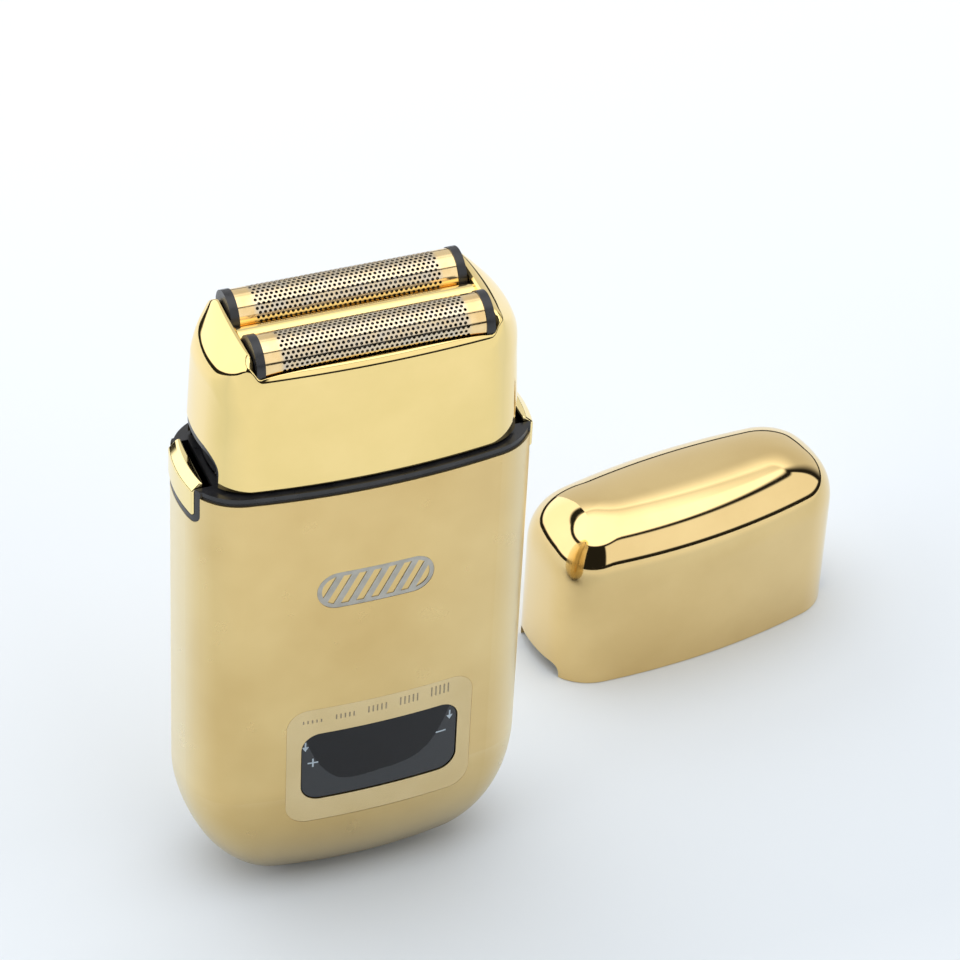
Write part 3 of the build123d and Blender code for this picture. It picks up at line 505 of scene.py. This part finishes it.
MATERIALS = {
    "satin_gold": satin_gold(),
    "polished_gold": mirror_gold("polished_gold", (0.86, 0.66, 0.27), (0.91, 0.7, 0.3), (0.99, 0.77, 0.37)),
    # painted shade: the cap's gold is a darker, more orange copy of the polished gold, standing in for the
    # dimmer reflections on the cap
    "cap_gold": mirror_gold("cap_gold", (0.76, 0.555, 0.25), (0.82, 0.61, 0.285), (0.86, 0.67, 0.36)),
    "button_gold": gold("button_gold", (0.95, 0.77, 0.36), (0.99, 0.81, 0.4), 0.06, 0.1, 0.0),
    "foil_gold": foil_gold(),
    "cutter_steel": metal("cutter_steel", (0.05, 0.045, 0.04), (0.16, 0.15, 0.14), 0.35, 0.5),
    "black_plastic": plastic("black_plastic", (0.012, 0.012, 0.014), (0.022, 0.022, 0.025), 0.26, 0.36),
    "grey_plastic": plastic("grey_plastic", (0.1, 0.1, 0.11), (0.14, 0.14, 0.15), 0.45, 0.6),
    "white_plastic": plastic("white_plastic", (0.78, 0.78, 0.75), (0.86, 0.86, 0.83), 0.35, 0.5),
    "rubber": plastic("rubber", (0.01, 0.01, 0.01), (0.02, 0.02, 0.02), 0.6, 0.75),
    "display_gloss": lens_gloss(),
    "label_film": gold("label_film", (0.7, 0.54, 0.28), (0.76, 0.6, 0.33), 0.2, 0.26, 0.15),
    "emblem_silver": metal("emblem_silver", (0.40, 0.38, 0.33), (0.48, 0.46, 0.41), 0.3, 0.42),
    "steel": metal("steel", (0.5, 0.5, 0.51), (0.64, 0.64, 0.65), 0.25, 0.4, (1, 1, 8)),
    "spring_steel": metal("spring_steel", (0.42, 0.42, 0.44), (0.56, 0.56, 0.58), 0.2, 0.35),
    "nickel": metal("nickel", (0.62, 0.61, 0.58), (0.72, 0.71, 0.68), 0.2, 0.35),
    "contact_brass": metal("contact_brass", (0.7, 0.52, 0.24), (0.8, 0.62, 0.32), 0.2, 0.35),
    "battery_wrap": plastic("battery_wrap", (0.03, 0.14, 0.36), (0.05, 0.19, 0.44), 0.2, 0.3),
    "circuit_board": plastic("circuit_board", (0.01, 0.13, 0.05), (0.03, 0.22, 0.08), 0.3, 0.5),
    "chip_black": plastic("chip_black", (0.015, 0.015, 0.015), (0.03, 0.03, 0.03), 0.5, 0.65),
    "display_block": plastic("display_block", (0.03, 0.03, 0.03), (0.05, 0.05, 0.055), 0.1, 0.2),
    "switch_metal": metal("switch_metal", (0.5, 0.5, 0.5), (0.62, 0.62, 0.62), 0.25, 0.4),
}


def dress_cad_nodes():
    """Gives every CAD node the material of its slot in the record."""
    for part in frame["record"]["subparts"]:
        node = frame["nodes"][part["node"]]
        node.data.materials.clear()
        node.data.materials.append(MATERIALS[part["material_slot"]])


# ---- head frame ----
def head_outlines():
    """The head's outline at its foot and at its top."""
    end_r = END_R - HEAD_INSET
    corner_r = CORNER_R - HEAD_INSET
    foot = full_outline(HEAD_FOOT_HALF_W, HALF_D - HEAD_INSET, FRONT_R - HEAD_INSET, end_r, corner_r)
    top = full_outline(HEAD_TOP_HALF_W, HEAD_TOP_HALF_D, HEAD_TOP_FRONT_R, end_r, corner_r)
    return foot, top


def head_wall_point(index, z, foot, top):
    """A point of the head's wall at height z, on the straight line from the foot to the top outline."""
    share = (z - HEAD_FORM_LOW) / (HEAD_TOP - HEAD_FORM_LOW)
    return [a + (b - a) * share for a, b in zip(foot[index], top[index])]


def opening_point(x, y):
    """The point of the opening's rounded edge that is nearest to a point outside it."""
    near_x = min(OPENING_X - OPENING_CORNER, max(OPENING_CORNER - OPENING_X, x))
    near_y = min(OPENING_Y - OPENING_CORNER, max(OPENING_CORNER - OPENING_Y, y))
    away = Vector((x - near_x, y - near_y))
    away.normalize()
    return near_x + away.x * OPENING_CORNER, near_y + away.y * OPENING_CORNER


def round_over(run, fall, distance):
    """How far an elliptical rounding has fallen at a distance in from its wall."""
    return fall * (1 - math.sqrt(1 - max(0.0, 1 - distance / run) ** 2))


def head_height(x, y, distance, length):
    """Height of the head's skin: a low lip in front and at the back, and a shoulder at each end."""
    at_corner = smooth01((abs(y) - SHOULDER_FADE_FROM_Y) / SHOULDER_FADE_LENGTH)
    start = SHOULDER_FROM_X - (1 - at_corner) * SHOULDER_SETBACK
    share = smooth01((abs(x) - start) / (SHOULDER_FULL_X - start))
    lip = LIP_Z - round_over(LIP_R, LIP_FALL, distance)
    slope = SHOULDER_FALL * (1 - distance / length) ** SHOULDER_BEND
    steep = smooth01((abs(y) - STEEP_EDGE_FROM_Y) / STEEP_EDGE_LENGTH)
    edge_fall = EDGE_FALL + CORNER_EDGE_FALL * steep
    shoulder = SHOULDER_TOP - slope - round_over(EDGE_RUN, edge_fall, distance)
    return lip + (shoulder - lip) * share


def head_columns():
    """Each column of the head's skin, from the foot outside, over the top and down to the foot inside."""
    foot, top = head_outlines()
    wall_steps = 10
    round_steps = 30
    columns = []
    for index in range(len(foot)):
        column = []
        spring = head_wall_point(index, SKIN_START_Z, foot, top)
        inner = opening_point(*spring)
        length = math.dist(spring, inner)
        spring_z = head_height(*spring, 0.0, length)
        outer = head_wall_point(index, spring_z, foot, top)
        for step in range(wall_steps):
            z = HEAD_LOW + (spring_z - HEAD_LOW) * step / wall_steps
            column.append((*head_wall_point(index, z, foot, top), z))
        for step in range(round_steps + 1):
            # closer together near the wall, where the surface turns fastest
            share = 1 - math.cos(math.pi / 2 * step / round_steps)
            x = outer[0] + (inner[0] - outer[0]) * share
            y = outer[1] + (inner[1] - outer[1]) * share
            edge_fall = round_over(OPENING_EDGE_R, OPENING_EDGE_R, length * (1 - share))
            column.append((x, y, head_height(x, y, length * share, length) - edge_fall))
        column.append((*inner, LIP_Z - SKIN_LEG))
        low = head_wall_point(index, HEAD_LOW, foot, top)
        scale_x = 1 - HEAD_WALL / HEAD_FOOT_HALF_W
        scale_y = 1 - HEAD_WALL / (HALF_D - HEAD_INSET)
        high = head_wall_point(index, LIP_Z - SKIN_INSIDE_DROP, foot, top)
        column.append((high[0] * scale_x, high[1] * scale_y, LIP_Z - SKIN_INSIDE_DROP))
        column.append((low[0] * scale_x, low[1] * scale_y, HEAD_LOW))
        columns.append(column)
    return columns


def both_ends(reach):
    """The stretch of X from reach[0] to reach[1], and its mirror image."""
    near, far = reach
    return (near, far), (-far, -near)


def make_head():
    """The polished head frame, with a notch over each release button."""
    columns = head_columns()
    rings = [list(ring) for ring in zip(*columns)]
    head = closed_tube("head_shell", rings, MATERIALS["polished_gold"])
    for x0, x1 in both_ends(NOTCH_REACH):
        cut(head, rounded_prism(NOTCH_HALF_Y, NOTCH_TOP - NOTCH_DEPTH, NOTCH_TOP, NOTCH_CORNER, x0, x1))
    soften(head, 32)
    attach(head, "head")
    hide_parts("head_frame")


def make_divider():
    """The round-topped bar between the two foils."""
    half = FOIL_Y - (FOIL_R + DIVIDER_GAP)
    centre = LIP_Z - DIVIDER_DROP
    steps = 24
    section = []
    for step in range(steps + 1):
        angle = math.pi * step / steps
        section.append((half * math.cos(angle), centre + half * math.sin(angle)))
    section.append((-half, centre - DIVIDER_LEG))
    section.append((half, centre - DIVIDER_LEG))
    ends = (-OPENING_X - DIVIDER_OVERLAP, OPENING_X + DIVIDER_OVERLAP)
    verts = [(x, y, z) for x in ends for y, z in section]
    count = len(section)
    faces = bridge_loops([list(range(count)), list(range(count, 2 * count))])
    faces.append(tuple(range(count)))
    faces.append(tuple(range(count, 2 * count)))
    bar = new_piece("head_divider", verts, faces, MATERIALS["polished_gold"])
    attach(bar, "head")


# ---- travel cap ----
def cap_ring(share, inset):
    """One level of the cap's crown: share 0 is the wall and 1 is the ridge."""
    rise = CAP_RISE - inset
    z = CAP_H - inset - rise * (1 - (1 - (1 - share) ** CAP_SQUARE) ** (1 / CAP_SQUARE))
    # the crown runs in by as much at the ends as at the front and back, so it closes to a ridge
    ridge_share = (HALF_D - inset) / (HALF_W - inset)
    return [(x * (1 - share * ridge_share), y * (1 - share), z) for x, y in body_outline(inset)]


def make_cap():
    """The polished travel cap, hollow, with a notch in its rim at each end."""
    levels = 36
    shares = [1 - math.cos(math.pi / 2 * i / levels) for i in range(levels + 1)]
    outside = []
    for z in CAP_WALL_LEVELS:
        inset = CAP_RIM_BREAK if z == 0 else 0.0
        outside.append([(x, y, z) for x, y in body_outline(inset)])
    outside += [cap_ring(share, 0.0) for share in shares]
    inside = [[(x, y, z) for x, y in body_outline(CAP_WALL)] for z in CAP_INSIDE_LEVELS]
    inside += [cap_ring(share, CAP_WALL) for share in shares[::3]]
    verts = [p for ring in outside + inside for p in ring]
    count = len(outside[0])
    number = [list(range(r * count, (r + 1) * count)) for r in range(len(outside) + len(inside))]
    out_loops = number[: len(outside)]
    in_loops = number[len(outside):]
    faces = bridge_loops(out_loops) + bridge_loops(in_loops) + bridge_loops([out_loops[0], in_loops[0]])
    cap = new_piece("cap_shell", verts, faces, MATERIALS["cap_gold"])
    for x0, x1 in both_ends(CAP_NOTCH_REACH):
        cut(cap, rounded_prism(CAP_NOTCH_HALF, CAP_NOTCH_LOW, CAP_NOTCH_H, CAP_NOTCH_CORNER, x0, x1))
    place = Matrix.Translation((CAP_PLACE[0] * MM, CAP_PLACE[1] * MM, 0))
    cap.data.transform(place @ Matrix.Rotation(math.radians(CAP_TURN), 4, "Z"))
    soften(cap, 32)
    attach(cap, "cap")
    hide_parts("travel_cap")


# ---- foils ----
def foil_section_point(length_along):
    """A point of the foil's section, from the front leg's foot over the arch to the rear leg's."""
    leg = FOIL_Z - FOIL_LEG_LOW
    arch = math.pi * FOIL_R
    if length_along < leg:
        return -FOIL_R, FOIL_LEG_LOW + length_along
    if length_along > leg + arch:
        return FOIL_R, FOIL_Z - (length_along - leg - arch)
    angle = math.pi - (length_along - leg) / FOIL_R
    return FOIL_R * math.cos(angle), FOIL_Z + FOIL_R * math.sin(angle)


def cell_with_hole(x0, s0):
    """The eight faces round one hole, for the cell whose lower left corner is (x0, s0)."""
    half = HOLE_PITCH / 2
    xs = (x0, x0 + half, x0 + 2 * half)
    ss = (s0, s0 + ROW_PITCH / 2, s0 + ROW_PITCH)
    centre = Vector((xs[1], ss[1]))
    around = ((0, 0), (1, 0), (2, 0), (2, 1), (2, 2), (1, 2), (0, 2), (0, 1))
    rim = [(xs[i], ss[j]) for i, j in around]
    hole = []
    for point in rim:
        away = (Vector(point) - centre).normalized()
        hole.append(tuple(centre + away * HOLE_R))
    return [(rim[i - 1], rim[i], hole[i], hole[i - 1]) for i in range(8)]


def plain_cell(x0, x1, s0, s1):
    return ((x0, s0), (x1, s0), (x1, s1), (x0, s1))


def foil_cells():
    """Faces of the perforated sheet as points (x, length along the section), with a hole in each cell."""
    leg = FOIL_Z - FOIL_LEG_LOW
    total = 2 * leg + math.pi * FOIL_R
    rows = int((total - 2 * (leg - HOLES_BELOW_ARCH)) / ROW_PITCH)
    first = (total - rows * ROW_PITCH) / 2
    columns = int((2 * FOIL_HALF - 2 * PLAIN_END) / HOLE_PITCH)
    half = HOLE_PITCH / 2
    left = -columns * HOLE_PITCH / 2
    right = left + columns * HOLE_PITCH
    cells = []
    for row in range(rows):
        s0 = first + row * ROW_PITCH
        shifted = row % 2
        for column in range(columns - shifted):
            cells += cell_with_hole(left + shifted * half + column * HOLE_PITCH, s0)
        if shifted:
            middle = s0 + ROW_PITCH / 2
            for x0 in (left, right - half):
                cells.append(plain_cell(x0, x0 + half, s0, middle))
                cells.append(plain_cell(x0, x0 + half, middle, s0 + ROW_PITCH))
    stations = [first + row * ROW_PITCH / 2 for row in range(2 * rows + 1)]
    for x0, x1 in ((-FOIL_HALF, left), (right, FOIL_HALF)):
        for s0, s1 in zip(stations, stations[1:]):
            cells.append(plain_cell(x0, x1, s0, s1))
    xs = [-FOIL_HALF] + [left + i * half for i in range(2 * columns + 1)] + [FOIL_HALF]
    for s0, s1 in ((0.0, first), (total - first, total)):
        for x0, x1 in zip(xs, xs[1:]):
            cells.append(plain_cell(x0, x1, s0, s1))
    return cells


def make_foil(name, node, body, y):
    """A thin perforated sheet bent over the cutter."""
    bm = bmesh.new()
    known = {}
    for cell in foil_cells():
        corners = []
        for x, s in cell:
            key = (round(x, 4), round(s, 4))
            if key not in known:
                py, pz = foil_section_point(s)
                known[key] = bm.verts.new((x * MM, (y + py) * MM, pz * MM))
            corners.append(known[key])
        bm.faces.new(corners)
    bmesh.ops.recalc_face_normals(bm, faces=bm.faces)
    bm.faces.ensure_lookup_table()
    top_face = max(bm.faces, key=lambda f: f.calc_center_median().z)
    if top_face.normal.z < 0:
        bmesh.ops.reverse_faces(bm, faces=bm.faces)
    foil = piece_from(bm, name, MATERIALS["foil_gold"], 60)
    thick = foil.modifiers.new("thickness", "SOLIDIFY")
    thick.thickness = FOIL_T * MM
    thick.offset = -1
    apply_modifiers(foil)
    soften(foil, 40)
    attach(foil, body)
    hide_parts(node)


# ---- release buttons ----
def make_button(side):
    """The gold push button: a face that follows the handle's end, with a bevelled top."""
    stations = 12
    rings = []
    for step in range(stations + 1):
        y = -BUTTON_HALF_Y + 2 * BUTTON_HALF_Y * step / stations
        out = BUTTON_OUT - y * y / (2 * END_R)
        section = [
            (BUTTON_INNER_X, BUTTON_LOW),
            (out, BUTTON_LOW),
            (out, BUTTON_TOP - BUTTON_BEVEL),
            (out - BUTTON_BEVEL, BUTTON_TOP),
            (BUTTON_INNER_X, BUTTON_TOP),
        ]
        rings.append([(side * x, y, z) for x, z in section])
    verts = [p for ring in rings for p in ring]
    count = len(rings[0])
    loops = [list(range(r * count, (r + 1) * count)) for r in range(len(rings))]
    faces = bridge_loops(loops) + [tuple(loops[0]), tuple(loops[-1])]
    name = "right" if side > 0 else "left"
    button = new_piece(f"{name}_button_cap", verts, faces, MATERIALS["button_gold"])
    bevel(button, BUTTON_EDGE_R, 4)
    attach(button, f"{name}_button")
    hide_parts(f"{name}_release_button")


# ---- marks on the panel ----
def mark(name, outline_points, inset, body, material, lift):
    """A thin printed shape on the front face, given by its outline in x and z."""
    verts = []
    for x, z in outline_points:
        verts.append((x, front_y(x, inset) - lift, z))
    for x, z in outline_points:
        verts.append((x, front_y(x, inset) + lift, z))
    count = len(outline_points)
    loops = [list(range(count)), list(range(count, 2 * count))]
    faces = bridge_loops(loops) + [tuple(loops[0]), tuple(loops[1])]
    piece = new_piece(name, verts, faces, material)
    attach(piece, body)


def rectangle(x, z, width, height):
    """A rectangle's outline, centred on x and z."""
    w, h = width / 2, height / 2
    return [(x - w, z - h), (x + w, z - h), (x + w, z + h), (x - w, z + h)]


def plus_outline(x, z, arm, half):
    """A plus sign's outline: arm is its reach from the middle and half is half its stroke."""
    steps = [(-half, -arm), (half, -arm), (half, -half), (arm, -half), (arm, half), (half, half)]
    steps += [(half, arm), (-half, arm), (-half, half), (-arm, half), (-arm, -half), (-half, -half)]
    return [(x + a, z + b) for a, b in steps]


def arrow_outline(x, z):
    """A small arrow's outline, pointing down."""
    stroke, head, tail, tip = 0.14, 0.6, 1.1, 1.0
    steps = [(-stroke, tail), (stroke, tail), (stroke, 0), (head, 0), (0, -tip), (-head, 0), (-stroke, 0)]
    return [(x + a, z + b) for a, b in steps]


def key_marks():
    """The plus, the minus and their arrows on the rocker key."""
    ink = Shader("key_ink", Roughness=0.5)
    ink.two_colours(ink.noise(900, 2), (0.42, 0.5, 0.56), (0.5, 0.58, 0.64))
    shapes = {
        "plus_mark": plus_outline(-10.5, 31.7, 0.95, 0.14),
        "minus_mark": rectangle(13.4, 32.1, 1.9, 0.28),
        "plus_arrow": arrow_outline(-11.9, 35.6),
        "minus_arrow": arrow_outline(15.0, 35.4),
    }
    for name, points in shapes.items():
        mark(name, points, KEY_INSET, "rocker", ink.material, MARK_LIFT)


def level_ticks():
    """Five groups of five ticks, each group taller, as a plain speed scale over the window."""
    ink = Shader("film_ink", Roughness=0.45, Metallic=0.6)
    ink.two_colours(ink.noise(900, 2), (0.3, 0.25, 0.16), (0.36, 0.3, 0.2))
    for group in range(5):
        for tick in range(5):
            x = TICK_FROM_X + group * TICK_GROUP_PITCH + tick * TICK_PITCH
            height = 0.7 + 0.35 * group
            points = rectangle(x, TICK_LOW + height / 2, TICK_W, height)
            mark(f"level_tick_{group}_{tick}", points, FILM_INSET, "handle", ink.material, TICK_LIFT)


# ---- studio ----
class World:
    """A studio made of soft boxes that are set by direction: azimuth 0 is the front, -Y, and 90 is +X."""

    def __init__(self):
        world = bpy.data.worlds.new("studio")
        bpy.context.scene.world = world
        world.use_nodes = True
        self.tree = world.node_tree
        self.background = self.tree.nodes["Background"]
        coords = self.tree.nodes.new("ShaderNodeTexCoord")
        split = self.tree.nodes.new("ShaderNodeSeparateXYZ")
        self.tree.links.new(coords.outputs["Generated"], split.inputs["Vector"])
        back = self.math("MULTIPLY", split.outputs["Y"], -1.0)
        turn = self.math("ARCTAN2", split.outputs["X"], back)
        self.azimuth = self.math("MULTIPLY", turn, 180 / math.pi)
        rise = self.math("ARCSINE", split.outputs["Z"])
        self.elevation = self.math("MULTIPLY", rise, 180 / math.pi)
        self.total = None

    def math(self, operation, a, b=None):
        node = self.tree.nodes.new("ShaderNodeMath")
        node.operation = operation
        for socket, value in zip(node.inputs, (a, b)):
            if isinstance(value, (int, float)):
                socket.default_value = value
            elif value is not None:
                self.tree.links.new(value, socket)
        return node.outputs["Value"]

    def step(self, value, edge, soft, rising=True):
        """A soft step at an edge, from 0 to 1 or, if it doesn't rise, from 1 to 0."""
        node = self.tree.nodes.new("ShaderNodeMapRange")
        node.interpolation_type = "SMOOTHSTEP"
        node.inputs["From Min"].default_value = edge - soft
        node.inputs["From Max"].default_value = edge + soft
        node.inputs["To Min"].default_value = 0.0 if rising else 1.0
        node.inputs["To Max"].default_value = 1.0 if rising else 0.0
        self.tree.links.new(value, node.inputs["Value"])
        return node.outputs["Result"]

    def add(self, value):
        self.total = value if self.total is None else self.math("ADD", self.total, value)

    def box(self, strength, azimuths, elevations, soft=(2.0, 1.5)):
        """A soft box between two azimuths and two elevations."""
        sides = self.math(
            "MULTIPLY",
            self.step(self.azimuth, azimuths[0], soft[0]),
            self.step(self.azimuth, azimuths[1], soft[0], rising=False),
        )
        ends = self.math(
            "MULTIPLY",
            self.step(self.elevation, elevations[0], soft[1]),
            self.step(self.elevation, elevations[1], soft[1], rising=False),
        )
        self.add(self.math("MULTIPLY", self.math("MULTIPLY", sides, ends), strength))

    def finish(self, base):
        """Adds a faint light from everywhere, and shows the camera a plain bright background."""
        self.add(base)
        path = self.tree.nodes.new("ShaderNodeLightPath")
        plain = self.tree.nodes.new("ShaderNodeMix")
        plain.data_type = "FLOAT"
        self.tree.links.new(path.outputs["Is Camera Ray"], plain.inputs["Factor"])
        self.tree.links.new(self.total, plain.inputs["A"])
        plain.inputs["B"].default_value = 0.9
        self.tree.links.new(plain.outputs["Result"], self.background.inputs["Strength"])
        self.background.inputs["Color"].default_value = (0.97, 0.985, 1.0, 1.0)


def make_light():
    """A bright ceiling, a box in front on the right, a box on the left, and a dimmer wall behind."""
    world = World()
    world.box(1.9, (-190, 104), (56, 100), (6.0, 1.5))
    world.box(1.9, (104, 190), (56, 100), (6.0, 14.0))
    world.box(1.15, (4, 88), (7, 51))
    world.box(1.6, (-190, -64), (7, 49))
    world.box(0.8, (102, 190), (4, 56), (8.0, 1.5))
    world.finish(0.02)


def make_floor():
    """A pale floor with a band of painted shade just in front of the shaver."""
    shader = Shader("floor", Roughness=0.65)
    shader.two_colours(shader.noise(6, 2), (0.87, 0.9, 0.93), (0.88, 0.91, 0.94))
    depth = shader.axis("Y")
    behind = shader.ramp(depth, FLOOR_DIM_Y, FLOOR_DIM_Y + FLOOR_DIM_BEHIND, 1.0, 0.0)
    before = shader.ramp(depth, FLOOR_DIM_Y - FLOOR_DIM_BEFORE, FLOOR_DIM_Y, 0.0, 1.0)
    painted_shade = shader.math("MULTIPLY", behind, before)
    # painted shade: the floor's colour is darkened in a band just in front of the shaver
    shader.mix_in(shader.math("MULTIPLY", painted_shade, 0.9), (0.72, 0.765, 0.81))
    bpy.ops.mesh.primitive_circle_add(vertices=96, radius=FLOOR_RADIUS, fill_type="NGON")
    floor = bpy.context.object
    floor.name = "studio_floor"
    floor.location = (0.05, 0.02, -0.00002)
    floor.data.materials.append(shader.material)


def make_camera():
    """The photograph's camera: its place, its direction and its roll."""
    azimuth = math.radians(CAMERA_AZIMUTH)
    elevation = math.radians(CAMERA_ELEVATION)
    roll = math.radians(CAMERA_ROLL)
    right = Vector((math.cos(azimuth), math.sin(azimuth), 0))
    level = Vector((math.sin(azimuth), -math.cos(azimuth), 0))
    back = level * math.cos(elevation) + Vector((0, 0, math.sin(elevation)))
    up = back.cross(right)
    rolled_right = math.cos(roll) * right + math.sin(roll) * up
    rolled_up = -math.sin(roll) * right + math.cos(roll) * up
    data = bpy.data.cameras.new("camera")
    data.lens = CAMERA_LENS
    data.sensor_width = 36.0
    data.clip_start = 0.01
    data.clip_end = 20.0
    camera = bpy.data.objects.new("camera", data)
    bpy.context.scene.collection.objects.link(camera)
    turn = Matrix((rolled_right, rolled_up, back)).transposed().to_4x4()
    camera.matrix_world = Matrix.Translation(CAMERA_PLACE) @ turn
    bpy.context.scene.camera = camera


bpy.context.scene.view_settings.view_transform = "Standard"
make_camera()
make_light()
make_floor()
dress_cad_nodes()
make_head()
make_divider()
make_cap()
make_foil("front_foil_sheet", "front_foil", "front_foil_unit", -FOIL_Y)
make_foil("rear_foil_sheet", "rear_foil", "rear_foil_unit", FOIL_Y)
make_button(-1)
make_button(1)
key_marks()
level_ticks()
